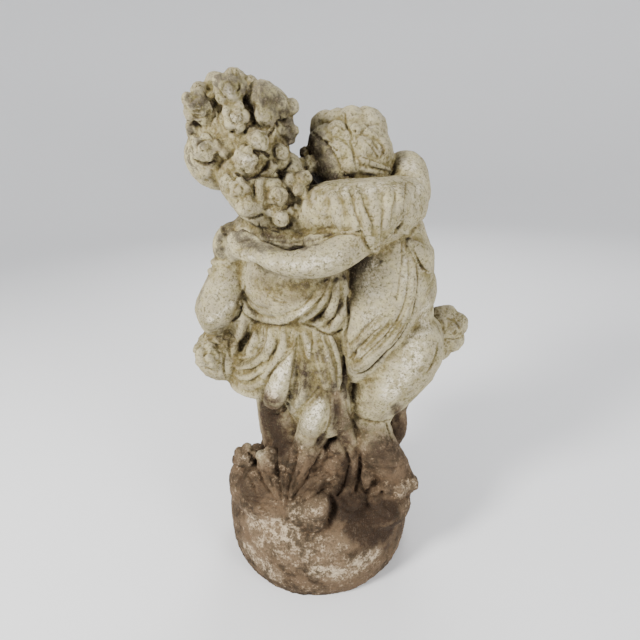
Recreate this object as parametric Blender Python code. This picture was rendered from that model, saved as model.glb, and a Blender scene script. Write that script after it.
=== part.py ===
"""Cast-stone garden group: two embracing putti on a rocky mound, cast as one solid piece.

The group is built up as a sculptor builds it in clay: masses for the bodies, thinner masses for
the clothes, then folds, curls, roses and leaves laid on their surfaces, all melted into one skin.
The backs of the two children look along -Y. The skirted child stands at -X and the draped child at
+X. Marks on the back are drawn as they are seen from the eye, in the picture's own grid.
"""

import math
import random

import bmesh
import bpy
from mathutils import Euler, Matrix, Vector
from mathutils.bvhtree import BVHTree

# Driving dimensions, in metres.
FIGURE_HEIGHT = 0.530  # from the floor that the feet stand on to the top of the tallest curl
MOUND_HEIGHT = 0.120
MOUND_RADIUS = 0.134

# The figures are drawn in sketch units, with heights counted from under the sketch's mound.
SKETCH_FIGURE = 530.0
SKETCH_MOUND = 120.0
UNIT = FIGURE_HEIGHT / SKETCH_FIGURE

# The eye, in sketch units and degrees, and the grid that it sees the marks in.
EYE = (17.1, -567.0, 581.0)
EYE_DOWN = 22.0
EYE_ROLL = 3.0
GRID_FOCAL = 462.0
GRID_MIDDLE = 320.0

# Fineness of the clay, in metres, and of the finished skin.
BODY_VOXEL = 4.0 * UNIT
SKIN_VOXEL = 2.8 * UNIT
TRIANGLES = 9900

# The least share of a knob's stand that a sight along the surface keeps.
FLATTEST_FACING = 0.35

RING_SIDES = 14
BALL_CUTS = 3
STEPS_PER_SPAN = 5


def place(x, y, z):
    """The point of the model for a point of the sketch."""
    return Vector((x * UNIT, y * UNIT, MOUND_HEIGHT + (z - SKETCH_MOUND) * UNIT))


def sight(u, v):
    """The direction from the eye through a point of the grid."""
    down, roll = math.radians(EYE_DOWN), math.radians(EYE_ROLL)
    ahead = Vector((0.0, math.cos(down), -math.sin(down)))
    level, over = Vector((1.0, 0.0, 0.0)), Vector((0.0, math.sin(down), math.cos(down)))
    right = level * math.cos(roll) - over * math.sin(roll)
    up = level * math.sin(roll) + over * math.cos(roll)
    across = right * (u - GRID_MIDDLE) - up * (v - GRID_MIDDLE)
    return (ahead * GRID_FOCAL + across).normalized()


def touch(tree, u, v):
    """Where the sight through (u, v) meets the clay or passes nearest to it, and the way out."""
    eye, ray = place(*EYE), sight(u, v)
    hit, normal, _, _ = tree.ray_cast(eye, ray)
    if hit is not None:
        return hit, normal
    spot = eye - ray * (eye.y / ray.y)
    for _ in range(4):
        near, normal, _, _ = tree.find_nearest(spot)
        spot = eye + ray * (near - eye).dot(ray)
    return near.lerp(spot, 0.5), normal


def seen_size(spot, marks):
    """The real size, in metres, of a mark that many grid units across at a spot."""
    return marks * (spot - place(*EYE)).length / GRID_FOCAL


def smooth_path(points, steps=STEPS_PER_SPAN):
    """A Catmull-Rom line through points, each of them any tuple of numbers."""
    rows = [Vector(p) for p in points]
    rows = [2 * rows[0] - rows[1], *rows, 2 * rows[-1] - rows[-2]]
    line = []
    for before, start, end, after in zip(rows, rows[1:], rows[2:], rows[3:]):
        for i in range(steps):
            t = i / steps
            line.append(
                0.5
                * (
                    2 * start
                    + (end - before) * t
                    + (2 * before - 5 * start + 4 * end - after) * t**2
                    + (3 * start - before - 3 * end + after) * t**3
                )
            )
    line.append(rows[-2])
    return line


class Clay:
    """Lumps of clay, each a closed mesh, that are pressed together later."""

    def __init__(self):
        self.lumps = []

    def take(self, lump):
        """Keeps a bmesh as one lump, with its faces pointing out."""
        bmesh.ops.recalc_face_normals(lump, faces=lump.faces)
        mesh = bpy.data.meshes.new("lump")
        lump.to_mesh(mesh)
        lump.free()
        self.lumps.append(mesh)

    def whole(self):
        """All the lumps in one bmesh."""
        pile = bmesh.new()
        for mesh in self.lumps:
            pile.from_mesh(mesh)
        return pile


def add_sphere(clay, matrix, cuts=BALL_CUTS):
    """The unit sphere under a matrix."""
    lump = bmesh.new()
    bmesh.ops.create_icosphere(lump, subdivisions=cuts, radius=1.0, matrix=matrix)
    clay.take(lump)


def add_ball(clay, centre, radii, turn=(0.0, 0.0, 0.0)):
    """An ellipsoid: centre and radii in sketch units, turn in degrees."""
    turned = Euler([math.radians(a) for a in turn]).to_matrix().to_4x4()
    size = Matrix.Diagonal([r * UNIT for r in radii]).to_4x4()
    add_sphere(clay, Matrix.Translation(place(*centre)) @ turned @ size)


def add_tube(clay, frames, sides=RING_SIDES):
    """A closed tube whose rings are the unit circle under each of the frames."""
    lump = bmesh.new()
    ring = bmesh.ops.create_circle(
        lump, cap_ends=True, segments=sides, radius=1.0, matrix=frames[0]
    )["verts"]
    cap = ring[0].link_faces[0]
    for before, frame in zip(frames, frames[1:]):
        grown = bmesh.ops.extrude_face_region(lump, geom=[cap], use_keep_orig=True)["geom"]
        verts = [v for v in grown if isinstance(v, bmesh.types.BMVert)]
        cap = next(f for f in grown if isinstance(f, bmesh.types.BMFace))
        bmesh.ops.transform(lump, matrix=frame @ before.inverted(), verts=verts)
    clay.take(lump)


def loft(clay, centres, radii, flat=1.0, out=None):
    """A round-ended tube through points in metres. out holds the thin side's way for each ring."""
    frames = []
    for i, (centre, radius) in enumerate(zip(centres, radii)):
        along = (centres[min(i + 1, len(centres) - 1)] - centres[max(i - 1, 0)]).normalized()
        turn = along.to_track_quat("Z", "Y").to_matrix()
        if out is not None:
            side = out[i].cross(along).normalized()
            turn = Matrix((side, along.cross(side), along)).transposed()
        size = Matrix.Diagonal((radius, radius * flat, radius, 1.0))
        frames.append(Matrix.Translation(centre) @ turn.to_4x4() @ size)
    add_tube(clay, frames)
    for frame in (frames[0], frames[-1]):
        add_sphere(clay, frame, BALL_CUTS - 1)


def add_limb(clay, points, flat=1.0):
    """A round-ended limb through points of x, y, z and radius in sketch units."""
    line = smooth_path(points)
    loft(clay, [place(*p[:3]) for p in line], [max(p[3], 0.5) * UNIT for p in line], flat)


def add_barrel(clay, levels, sides=28):
    """A stack of level ellipses, each x, y, z, half width and half depth."""
    frames = []
    for x, y, z, wide, deep in smooth_path(levels):
        size = Matrix.Diagonal((wide * UNIT, deep * UNIT, UNIT, 1.0))
        frames.append(Matrix.Translation(place(x, y, z)) @ size)
    add_tube(clay, frames, sides)


def add_fold(clay, tree, marks, flat=1.0, stand=0.9):
    """A fold of cloth along marks of u, v and half width. It stands out of the surface a little."""
    line = smooth_path(marks, 3)
    spots = [touch(tree, u, v) for u, v, _ in line]
    radii = [seen_size(spot, half) for (spot, _), (_, _, half) in zip(spots, line)]
    centres = [spot + normal * (stand - flat) * r for (spot, normal), r in zip(spots, radii)]
    loft(clay, centres, radii, flat, [normal for _, normal in spots])


def add_knob(clay, tree, u, v, half, stand=0.1):
    """A round lump of half the given width. Its middle is on the sight, stand radii off the surface."""
    spot, normal = touch(tree, u, v)
    radius, ray = seen_size(spot, half), sight(u, v)
    centre = spot - ray * stand * radius / max(FLATTEST_FACING, -normal.dot(ray))
    add_sphere(clay, Matrix.Translation(centre) @ Matrix.Scale(radius, 4), 2)


def add_rose(clay, centre, out, size):
    """An open rose: a round heart in a ring of five petals. centre and size in sketch units."""
    turn = Vector(out).normalized().to_track_quat("Z", "Y").to_matrix()
    heart = Vector(centre)
    add_ball(clay, heart, (size * 0.6,) * 3)
    for i in range(5):
        angle = math.radians(72 * i)
        petal = heart + turn @ Vector((math.cos(angle), math.sin(angle), -0.25)) * size * 0.6
        add_ball(clay, petal, (size * 0.45,) * 3)


def add_leaf(clay, root, tip, half, thick=4.0):
    """A long leaf from root to tip, in sketch units, widest in its middle."""
    start, end = Vector(root), Vector(tip)
    widths = ((0.0, 0.35), (0.3, 0.85), (0.6, 1.0), (0.85, 0.6), (1.0, 0.15))
    points = [(*start.lerp(end, t), half * w) for t, w in widths]
    add_limb(clay, points, thick / half)


def mesh_of(clay, name):
    """All the lumps of the clay as one Blender mesh."""
    pile = clay.whole()
    mesh = bpy.data.meshes.new(name)
    pile.to_mesh(mesh)
    pile.free()
    return mesh


def melted(clay, name, rounds, voxel=BODY_VOXEL):
    """The masses of the clay melted into one soft mesh."""
    obj = bpy.data.objects.new(name, mesh_of(clay, name))
    bpy.context.scene.collection.objects.link(obj)
    remesh = obj.modifiers.new("melt", "REMESH")
    remesh.mode = "VOXEL"
    remesh.voxel_size = voxel
    smooth = obj.modifiers.new("soften", "SMOOTH")
    smooth.iterations = rounds
    graph = bpy.context.evaluated_depsgraph_get()
    mesh = bpy.data.meshes.new_from_object(obj.evaluated_get(graph))
    bpy.data.objects.remove(obj)
    return mesh


class Head:
    """A child's head, drawn in shares of its radius: x to its right, y forward, z up."""

    def __init__(self, centre, radius, turn):
        self.centre, self.radius = Vector(centre), radius
        self.degrees = turn
        self.turn = Euler([math.radians(a) for a in turn]).to_matrix()

    def point(self, share):
        """A point of the head in sketch units."""
        return self.centre + self.turn @ Vector(share) * self.radius

    def ball(self, clay, centre, radii):
        add_ball(clay, self.point(centre), [r * self.radius for r in radii], self.degrees)

    def limb(self, clay, points):
        add_limb(clay, [(*self.point(p[:3]), p[3] * self.radius) for p in points])

    def build_skull(self, clay):
        """The round skull with full cheeks, jaw and chin."""
        self.ball(clay, (0, -0.08, 0.05), (0.96, 1.0, 0.98))
        self.ball(clay, (0, 0.3, -0.34), (0.72, 0.6, 0.6))
        self.ball(clay, (0, 0.74, -0.74), (0.21, 0.2, 0.17))
        for side in (-1, 1):
            self.ball(clay, (0.42 * side, 0.6, -0.38), (0.34, 0.3, 0.32))

    def build_face(self, clay):
        """Brows, eyes, nose, lips and ears of a calm child."""
        for side in (-1, 1):
            brow = [(0.12, 0.9, 0.12, 0.05), (0.34, 0.86, 0.19, 0.07), (0.58, 0.7, 0.12, 0.04)]
            lid = [(0.2, 0.88, -0.06, 0.03), (0.34, 0.9, 0.01, 0.04), (0.5, 0.78, -0.06, 0.03)]
            ear = [(0.92, 0.02, 0.12, 0.07), (0.99, -0.08, 0.0, 0.1), (0.94, -0.02, -0.22, 0.08)]
            for line in (brow, lid, ear):
                self.limb(clay, [(x * side, y, z, r) for x, y, z, r in line])
            self.ball(clay, (0.34 * side, 0.78, -0.06), (0.16, 0.12, 0.1))
            self.ball(clay, (0.1 * side, 0.95, -0.26), (0.08, 0.09, 0.07))
        self.limb(clay, [(0, 0.88, 0.08, 0.07), (0, 0.96, -0.1, 0.08), (0, 1.02, -0.22, 0.11)])
        for height, wide, thick in ((-0.45, 0.17, 0.05), (-0.54, 0.13, 0.06)):
            corner = 0.86 - thick
            self.limb(clay, [(x, corner + 0.07 * (x == 0), height, thick) for x in (-wide, 0, wide)])


SKIRTED_HEAD = Head((-66, 6, 582), 52, (-14, -16, 14))
DRAPED_HEAD = Head((63, 26, 549), 51, (2, -6, 50))


def add_hand(clay, wrist, tip, across):
    """A small hand from wrist to tip: palm, four fingers side by side and a thumb."""
    start, end, side = Vector(wrist), Vector(tip), Vector(across).normalized()
    reach = end - start
    palm = start + reach * 0.45
    add_limb(clay, [(*start, 13), (*palm, 13)])
    for i in range(4):
        offset = side * (i - 1.5) * 6.5
        add_limb(clay, [(*(palm + offset), 5.5), (*(palm + reach * 0.5 + offset), 4.8)])
    thumb = palm + side * 12
    add_limb(clay, [(*thumb, 5.5), (*(thumb + reach * 0.3 + side * 5), 4.8)])


def build_skirted_body():
    """The skirted child under the dress, with both arms, both legs and the stone between them."""
    clay = Clay()
    add_ball(clay, (-8, 0, 312), (54, 48, 48))
    add_ball(clay, (-16, 0, 365), (47, 44, 42))
    add_ball(clay, (-24, 0, 428), (54, 47, 54))
    add_limb(clay, [(-72, -4, 466, 24), (-40, -5, 480, 29), (0, -8, 490, 29), (26, -14, 497, 27)])
    add_limb(clay, [(-28, 0, 478, 28), (-46, 2, 530, 28)])
    SKIRTED_HEAD.build_skull(clay)
    add_limb(clay, [(-74, -6, 464, 24), (-92, -12, 420, 26), (-114, -16, 382, 27)])
    add_limb(clay, [(-114, -16, 380, 26), (-120, 16, 350, 22), (-108, 58, 334, 15)])
    add_limb(clay, [(26, -18, 500, 27), (75, -34, 506, 26), (126, -14, 508, 25)])
    add_limb(clay, [(131, -8, 510, 25), (130, 20, 534, 24), (114, 56, 522, 17)])
    add_limb(clay, [(-38, 4, 292, 42), (-50, 2, 225, 30), (-52, 0, 190, 27)])
    add_limb(clay, [(-52, 0, 190, 27), (-50, -5, 158, 24), (-46, 2, 126, 17), (-48, 10, 118, 16)])
    add_limb(clay, [(10, -6, 292, 40), (20, -26, 250, 28)])
    add_limb(clay, [(20, -28, 250, 26), (4, -46, 212, 21), (-14, -46, 176, 16), (-18, -40, 140, 15)])
    add_limb(clay, [(-47, 4, 128, 16), (-52, 34, 130, 14), (-56, 60, 128, 10)])
    add_limb(clay, [(-18, -38, 134, 15), (-10, -8, 132, 14), (-4, 18, 128, 11)])
    add_ball(clay, (-26, -18, 180), (36, 24, 70))
    add_hand(clay, (-106, 60, 334), (-68, 80, 338), (0, 0, 1))
    add_hand(clay, (114, 60, 517), (84, 74, 478), (1, 0.6, -0.4))
    return melted(clay, "skirted", 4)


def build_draped_body():
    """The draped child, turned towards the other, with both arms and both legs."""
    clay = Clay()
    add_ball(clay, (118, -4, 314), (60, 54, 52))
    add_ball(clay, (135, -26, 314), (40, 42, 46))
    add_ball(clay, (128, -4, 358), (38, 40, 52))
    add_ball(clay, (54, -18, 240), (24, 24, 46))
    add_ball(clay, (150, 16, 310), (36, 38, 42))
    add_ball(clay, (106, 8, 362), (56, 52, 50))
    add_ball(clay, (108, 0, 425), (55, 50, 56))
    add_ball(clay, (114, -8, 392), (54, 48, 52))
    add_limb(clay, [(84, -36, 466, 26), (106, 0, 474, 30), (128, 34, 452, 24)])
    add_limb(clay, [(98, 8, 478, 28), (80, 18, 520, 28)])
    DRAPED_HEAD.build_skull(clay)
    near_arm = [
        (104, -24, 480, 23),
        (84, -50, 477, 20),
        (59, -72, 468, 19),
        (36, -86, 459, 19),
        (12, -94, 456, 18),
        (-11, -94, 455, 14),
        (-34, -87, 462, 13),
    ]
    add_limb(clay, near_arm)
    add_hand(clay, (-34, -87, 464), (-78, -60, 474), (0, 0.4, 1))
    add_limb(clay, [(132, 34, 448, 23), (150, 50, 406, 22), (160, 62, 362, 20)])
    add_limb(clay, [(160, 62, 360, 19), (170, 72, 334, 16), (180, 66, 312, 14)])
    add_hand(clay, (180, 66, 314), (190, 54, 286), (0, 1, 0))
    add_limb(clay, [(116, -18, 300, 56), (86, -32, 250, 40), (80, -38, 226, 28)])
    add_limb(clay, [(82, -42, 206, 25), (85, -48, 182, 29), (107, -50, 144, 25), (124, -50, 118, 18)])
    add_limb(clay, [(134, -44, 114, 12), (120, -56, 122, 18), (82, -78, 126, 13)])
    add_limb(clay, [(138, 26, 298, 44), (124, 34, 236, 34), (116, 38, 190, 27)])
    add_limb(clay, [(116, 38, 190, 26), (120, 34, 152, 24), (116, 34, 128, 17)])
    add_limb(clay, [(118, 32, 130, 16), (98, 56, 130, 15), (80, 76, 128, 11)])
    return melted(clay, "draped", 4)


def build_dress():
    """Bodice, belted skirt, shoulder caps, puffed sleeve and the lap of the skirt held up."""
    clay = Clay()
    add_ball(clay, (-22, -6, 424), (62, 56, 54))
    add_ball(clay, (-16, -10, 402), (58, 56, 42))
    add_ball(clay, (26, -14, 418), (34, 48, 56))
    outer = [(-6, -4, 385, 46, 46), (-12, -4, 350, 56, 54), (-24, -2, 308, 78, 64), (-32, 0, 268, 82, 64)]
    inner = [(6, -8, 366, 44, 46), (8, -14, 310, 50, 56), (8, -20, 258, 48, 58), (16, -20, 212, 36, 48)]
    add_barrel(clay, outer)
    add_barrel(clay, inner)
    add_ball(clay, (-116, 6, 310), (40, 44, 38), (0, 20, 0))
    add_ball(clay, (-80, -10, 460), (30, 30, 28), (0, -40, 0))
    sleeve = [
        (-56, -12, 474, 28),
        (0, -24, 486, 34),
        (40, -42, 500, 33),
        (84, -54, 498, 37),
        (116, -38, 503, 31),
    ]
    add_limb(clay, sleeve)
    add_limb(clay, [(20, -66, 466, 14), (46, -56, 466, 18), (70, -40, 466, 18)])
    add_limb(clay, [(66, -66, 490, 20), (76, -76, 474, 13), (80, -80, 465, 7)])
    add_limb(clay, [(94, -66, 488, 18), (98, -68, 478, 10)])
    add_ball(clay, (40, -6, 372), (30, 44, 50))
    add_ball(clay, (-82, 8, 372), (34, 36, 44))
    return melted(clay, "dress", 3)


def build_short_cloth():
    """The short cloth of the draped child, from the near shoulder over the back to the hip."""
    clay = Clay()
    levels = [
        (102, -8, 474, 46, 46),
        (104, -10, 425, 58, 54),
        (92, -12, 370, 58, 58),
        (74, -12, 316, 48, 56),
        (62, -8, 282, 30, 44),
    ]
    add_barrel(clay, levels)
    add_ball(clay, (60, 0, 350), (30, 50, 90))
    for height, size in ((312, 19), (292, 21), (272, 17)):
        hip, lap, thigh = (176, 44, height + 6), (128, 62, height - 8), (74, 46, height - 2)
        add_limb(clay, [(*hip, size), (*lap, size + 3), (*thigh, size)], 0.7)
    add_limb(clay, [(112, 58, 280, 22), (104, 60, 248, 16)], 0.7)
    return melted(clay, "short_cloth", 4)


def on_mound(x, y, height):
    """A place on the mound in sketch units: x and y in shares of its radius, height in shares."""
    reach = MOUND_RADIUS / UNIT
    return (x * reach, y * reach, SKETCH_MOUND + (height - 1) * MOUND_HEIGHT / UNIT)


def build_mound():
    """The drum of the mound with its rounded shoulder, the ground on it, the bush and the rocks."""
    clay = Clay()
    reach, rise = MOUND_RADIUS / UNIT, MOUND_HEIGHT / UNIT
    profile = ((-0.12, 0.86), (0.05, 0.96), (0.27, 1.0), (0.57, 0.99), (0.8, 0.93), (0.95, 0.8))
    levels = [(*on_mound(0, 0, height), reach * wide, reach * wide) for height, wide in profile]
    add_barrel(clay, levels, 48)
    add_ball(clay, on_mound(0, 0, 0.83), (reach * 0.84, reach * 0.84, rise * 0.25))
    bush = [
        ((-0.35, -0.38, 0.98), (66, 52, 46)),
        ((-0.68, -0.27, 1.02), (34, 40, 46)),
        ((0.07, -0.49, 0.98), (60, 50, 40)),
        ((-0.09, -0.68, 0.9), (34, 26, 26)),
        ((0.34, -0.1, 1.7), (30, 34, 52)),
        ((0.29, -0.29, 1.38), (36, 30, 40)),
        ((0.5, -0.15, 1.45), (26, 26, 44)),
        ((-0.15, -0.3, 1.33), (46, 30, 50)),
        ((0.0, -0.27, 1.32), (30, 22, 40)),
        ((0.51, -0.39, 1.15), (24, 20, 26)),
    ]
    rocks = [((0.65, -0.44, 0.83), (44, 44, 34)), ((0.82, -0.15, 0.77), (28, 54, 34))]
    for spot, radii in (*bush, *rocks):
        add_ball(clay, on_mound(*spot), radii)
    return melted(clay, "mound", 3)


def add_hair_masses(clay):
    """The rough bulk of both heads of hair, and of the curls that fall on the nape."""
    add_ball(clay, (-66, -4, 583), (54, 49, 52))
    add_ball(clay, (-34, -4, 600), (34, 40, 36))
    add_ball(clay, (-44, -24, 568), (38, 32, 36))
    add_ball(clay, (-87, -4, 562), (40, 40, 38))
    add_limb(clay, [(-56, -30, 540, 34), (-40, -38, 512, 30), (-24, -46, 494, 16)])
    add_limb(clay, [(-12, -20, 546, 20), (-6, -30, 524, 20), (-4, -44, 502, 12)])
    add_ball(clay, (62, 16, 551), (50, 47, 45))


def add_head_knobs(clay, tree):
    """The big round weathered curls and flowers all over the skirted child's head."""
    marks = [
        (237, 71, 8, 0.2), (230, 90, 17, 0.25), (197, 88, 10, 0.1), (198, 107, 16, 0.25),
        (192, 128, 7, 0.3), (236, 117, 13, 0.45), (262, 97, 16, 0.05), (266, 114, 12, 0.1),
        (291, 107, 8, 0.1), (287, 130, 12, 0.15), (259, 141, 11, 0.5), (246, 160, 13, 0.4),
        (205, 148, 13, 0.35), (281, 152, 8, 0.3), (272, 166, 7, 0.3), (301, 153, 6, 0.2),
        (213, 77, 10, 0.0), (250, 84, 8, 0.0),
    ]
    for mark in marks:
        add_knob(clay, tree, *mark)


def add_nape_curls(clay, tree):
    """The bunches of curls that hang over the skirted child's nape and neck."""
    marks = [
        (238, 191, 10), (248, 205, 11), (268, 190, 12), (279, 203, 11), (282, 218, 8),
        (310, 165, 8), (300, 172, 9), (297, 188, 9), (304, 207, 5), (292, 178, 10),
    ]
    for mark in marks:
        add_knob(clay, tree, *mark, 0.5)


def add_front_curls(clay, head, chance):
    """Curls over the half of the head that looks forward, down to the brow."""
    for i in range(30):
        height = 0.4 + 0.48 * (i % 5) / 4
        angle = math.radians(-12 + 204 * ((i * 0.382) % 1.0))
        ring = 0.95 * math.sqrt(1 - height**2)
        size = chance.uniform(0.2, 0.26)
        head.ball(clay, (ring * math.cos(angle), ring * math.sin(angle), height * 0.92), (size,) * 3)


def add_draped_hair(clay, tree):
    """The short locks of the draped child: lobes on the crown and long locks to the nape."""
    marks = [
        (326, 122, 12), (345, 121, 9), (365, 119, 13), (384, 131, 13), (391, 150, 9), (352, 134, 8),
    ]
    for mark in marks:
        add_knob(clay, tree, *mark, -0.35)
    locks = [
        [(362, 126, 6), (372, 134, 7), (384, 146, 7), (388, 158, 5)],
        [(350, 150, 6), (352, 164, 7), (350, 176, 5)],
        [(362, 148, 5), (372, 160, 6), (388, 168, 5)],
        [(360, 168, 5), (376, 172, 5), (388, 174, 4)],
    ]
    for marks in locks:
        add_fold(clay, tree, marks, 0.9, 0.5)


def add_sleeve_folds(clay, tree):
    """The puffed sleeve: ridges that fan down from its top, its hem and its hanging tip."""
    folds = [
        [(332, 194, 5), (336, 208, 7), (341, 229, 5)],
        [(346, 190, 5), (352, 205, 6), (355, 228, 5)],
        [(357, 191, 5), (362, 206, 6), (370, 236, 6), (372, 246, 3)],
        [(371, 189, 6), (375, 205, 7), (378, 239, 4)],
        [(388, 189, 6), (388, 205, 7), (386, 228, 6)],
        [(399, 186, 4), (399, 200, 5), (397, 213, 4)],
    ]
    for marks in folds:
        add_fold(clay, tree, marks, 1.0, 0.6)


def add_bodice_folds(clay, tree):
    """The hem of the bodice, bagged over the belt, and three folds that hang beside it."""
    hem = [
        (243, 300, 4), (250, 313, 5), (268, 319, 5), (284, 320, 5), (302, 313, 5), (317, 300, 4),
        (325, 284, 3),
    ]
    add_fold(clay, tree, hem)
    hanging = [
        [(328, 284, 4), (324, 302, 6), (311, 322, 4)],
        [(337, 284, 4), (335, 304, 7), (321, 328, 5)],
        [(345, 284, 4), (345, 306, 6), (334, 330, 5)],
        [(222, 228, 4), (219, 242, 4), (222, 256, 4)],
        [(214, 264, 3), (222, 262, 3), (230, 262, 3)],
    ]
    for marks in hanging:
        add_fold(clay, tree, marks)


def add_skirt_folds(clay, tree):
    """The fan of folds below the belt, with the thick lap fold and its round end."""
    lap = [(297, 336, 5), (291, 354, 8), (281, 374, 12), (274, 396, 13)]
    add_fold(clay, tree, lap, 0.8, 0.6)
    folds = [
        [(250, 326, 4), (254, 345, 6), (243, 354, 6), (232, 350, 3)],
        [(263, 328, 4), (266, 352, 6), (250, 368, 6), (232, 370, 4)],
        [(278, 328, 4), (276, 356, 6), (258, 382, 7), (242, 386, 4)],
        [(305, 336, 5), (310, 360, 6), (306, 394, 6)],
        [(323, 400, 7), (317, 411, 12), (309, 425, 13), (303, 438, 12), (299, 450, 8)],
        [(315, 336, 4), (326, 362, 6), (331, 398, 6)],
        [(327, 336, 4), (337, 358, 6), (339, 390, 5)],
    ]
    for marks in folds:
        add_fold(clay, tree, marks)


def add_cloth_folds(clay, tree):
    """Strap ridges, rolled hem and slanting folds of the draped child's short cloth."""
    folds = [
        [(409, 243, 3), (413, 264, 3), (412, 290, 3), (410, 304, 4)],
        [(410, 304, 4), (404, 322, 4), (392, 339, 5), (376, 354, 6), (358, 366, 8)],
        [(409, 242, 4), (417, 250, 8), (424, 259, 9), (428, 269, 5)],
        [(376, 316, 4), (364, 326, 5), (350, 340, 5)],
        [(388, 326, 4), (372, 338, 5), (352, 354, 5)],
    ]
    for marks in folds:
        add_fold(clay, tree, marks)


def add_loose_cloth(clay):
    """The knot's flap at the draped child's shoulder and the lobed end flying at the hip."""
    add_limb(clay, [(136, -10, 458, 8), (150, -4, 446, 13), (156, 0, 432, 12)], 0.5)
    add_ball(clay, (188, 44, 306), (34, 18, 40), (0, 12, 0))
    lobes = [((198, 46, 330), 16), ((210, 44, 316), 20), ((206, 44, 294), 20), ((190, 46, 276), 17)]
    for centre, size in lobes:
        add_ball(clay, centre, (size, 15, size))


def add_held_roses(clay):
    """The roses in the lap of the skirt, seen from behind and from the front."""
    add_rose(clay, (-134, -20, 318), (-0.3, -1, 0.1), 24)
    for centre in ((-100, 44, 336), (-122, 34, 344), (-82, 66, 346), (-54, 74, 338), (-76, 54, 362)):
        add_rose(clay, centre, (-0.2, 0.5, 1), 17)


def add_plants(clay, tree):
    """The rose bush at the skirted child's feet and the long ribbed leaves on the mound."""
    for u, v, half in ((245, 457, 12), (268, 460, 14)):
        add_knob(clay, tree, u, v, half, 0.3)
    leaves = [
        [(278, 504, 5), (262, 488, 9), (250, 474, 8), (242, 468, 3)],
        [(280, 504, 5), (272, 484, 8), (268, 468, 6)],
        [(284, 504, 5), (287, 482, 8), (293, 462, 7), (300, 448, 3)],
        [(288, 506, 5), (306, 488, 9), (322, 468, 10), (334, 452, 5)],
        [(292, 510, 5), (312, 500, 8), (326, 490, 5)],
        [(362, 488, 4), (366, 476, 6), (362, 462, 3)],
        [(344, 494, 4), (348, 476, 6), (352, 458, 4)],
        [(350, 470, 3), (354, 452, 5), (358, 436, 3)],
    ]
    for marks in leaves:
        add_fold(clay, tree, marks, 0.5, 0.4)
    lumps = [
        (344, 431, 12), (338, 444, 9), (350, 438, 8), (301, 513, 16), (315, 506, 15), (258, 509, 7),
        (386, 486, 9), (398, 490, 9), (376, 500, 8), (356, 502, 6), (340, 504, 5), (318, 452, 8),
    ]
    for mark in lumps:
        add_knob(clay, tree, *mark, -0.3)


def add_front_ground(clay, chance):
    """Rocks and leaves round the feet on the side that looks forward."""
    for i in range(16):
        angle = math.radians(-10 + 200 * i / 15)
        size = chance.uniform(12, 21)
        turn = (0, chance.uniform(-20, 20), 40 * i)
        spot = on_mound(0.78 * math.cos(angle), 0.78 * math.sin(angle), 0.87)
        add_ball(clay, spot, (size, size * 0.9, size * 0.8), turn)
    for i in range(5):
        angle = math.radians(40 + 28 * i)
        root = on_mound(0.8 * math.cos(angle), 0.8 * math.sin(angle), 0.78)
        tip = on_mound(0.42 * math.cos(angle), 0.42 * math.sin(angle), 1.12)
        add_leaf(clay, root, tip, 12)


def stone(name):
    """Weathered pale cast stone."""
    made = bpy.data.materials.new(name)
    made.use_nodes = True
    shader = made.node_tree.nodes["Principled BSDF"]
    shader.inputs["Base Color"].default_value = (0.36, 0.31, 0.22, 1.0)
    shader.inputs["Roughness"].default_value = 0.92
    shader.inputs["Metallic"].default_value = 0.0
    return made


def cut_flat(obj):
    """Cuts the skin level at the ground and closes it there."""
    clay = bmesh.new()
    clay.from_mesh(obj.data)
    everything = [*clay.verts, *clay.edges, *clay.faces]
    level = bmesh.ops.bisect_plane(
        clay, geom=everything, dist=1e-6, plane_co=(0, 0, 0), plane_no=(0, 0, -1), clear_outer=True
    )["geom_cut"]
    rim = [e for e in level if isinstance(e, bmesh.types.BMEdge)]
    bmesh.ops.contextual_create(clay, geom=rim)
    bmesh.ops.triangulate(clay, faces=clay.faces)
    clay.to_mesh(obj.data)
    clay.free()


def skin(clay, name):
    """All the clay melted together, thinned to the finished number of faces and cut flat."""
    obj = bpy.data.objects.new(name, mesh_of(clay, name))
    bpy.context.scene.collection.objects.link(obj)
    remesh = obj.modifiers.new("melt", "REMESH")
    remesh.mode = "VOXEL"
    remesh.voxel_size = SKIN_VOXEL
    graph = bpy.context.evaluated_depsgraph_get()
    whole = bpy.data.meshes.new_from_object(obj.evaluated_get(graph))
    whole.calc_loop_triangles()
    thin = obj.modifiers.new("thin", "DECIMATE")
    thin.ratio = TRIANGLES / len(whole.loop_triangles)
    thin.use_collapse_triangulate = True
    graph = bpy.context.evaluated_depsgraph_get()
    mesh = bpy.data.meshes.new_from_object(obj.evaluated_get(graph))
    obj.modifiers.clear()
    obj.data = mesh
    mesh.name = name
    cut_flat(obj)
    return obj


def main():
    for obj in list(bpy.data.objects):
        bpy.data.objects.remove(obj)
    chance = random.Random(7)
    masses = Clay()
    heads = (SKIRTED_HEAD, DRAPED_HEAD)
    for build in (build_skirted_body, build_draped_body, build_dress, build_short_cloth, build_mound):
        masses.lumps.append(build())
    add_hair_masses(masses)
    tree = BVHTree.FromBMesh(masses.whole())
    add_head_knobs(masses, tree)
    add_nape_curls(masses, tree)
    for head in heads:
        head.build_face(masses)
        add_front_curls(masses, head, chance)
    add_draped_hair(masses, tree)
    add_sleeve_folds(masses, tree)
    add_bodice_folds(masses, tree)
    add_skirt_folds(masses, tree)
    add_cloth_folds(masses, tree)
    add_loose_cloth(masses)
    add_held_roses(masses)
    add_plants(masses, tree)
    add_front_ground(masses, chance)
    group = skin(masses, "embracing_putti")
    group.data.materials.append(stone("cast_stone"))
    group.data.shade_smooth()


main()
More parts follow.
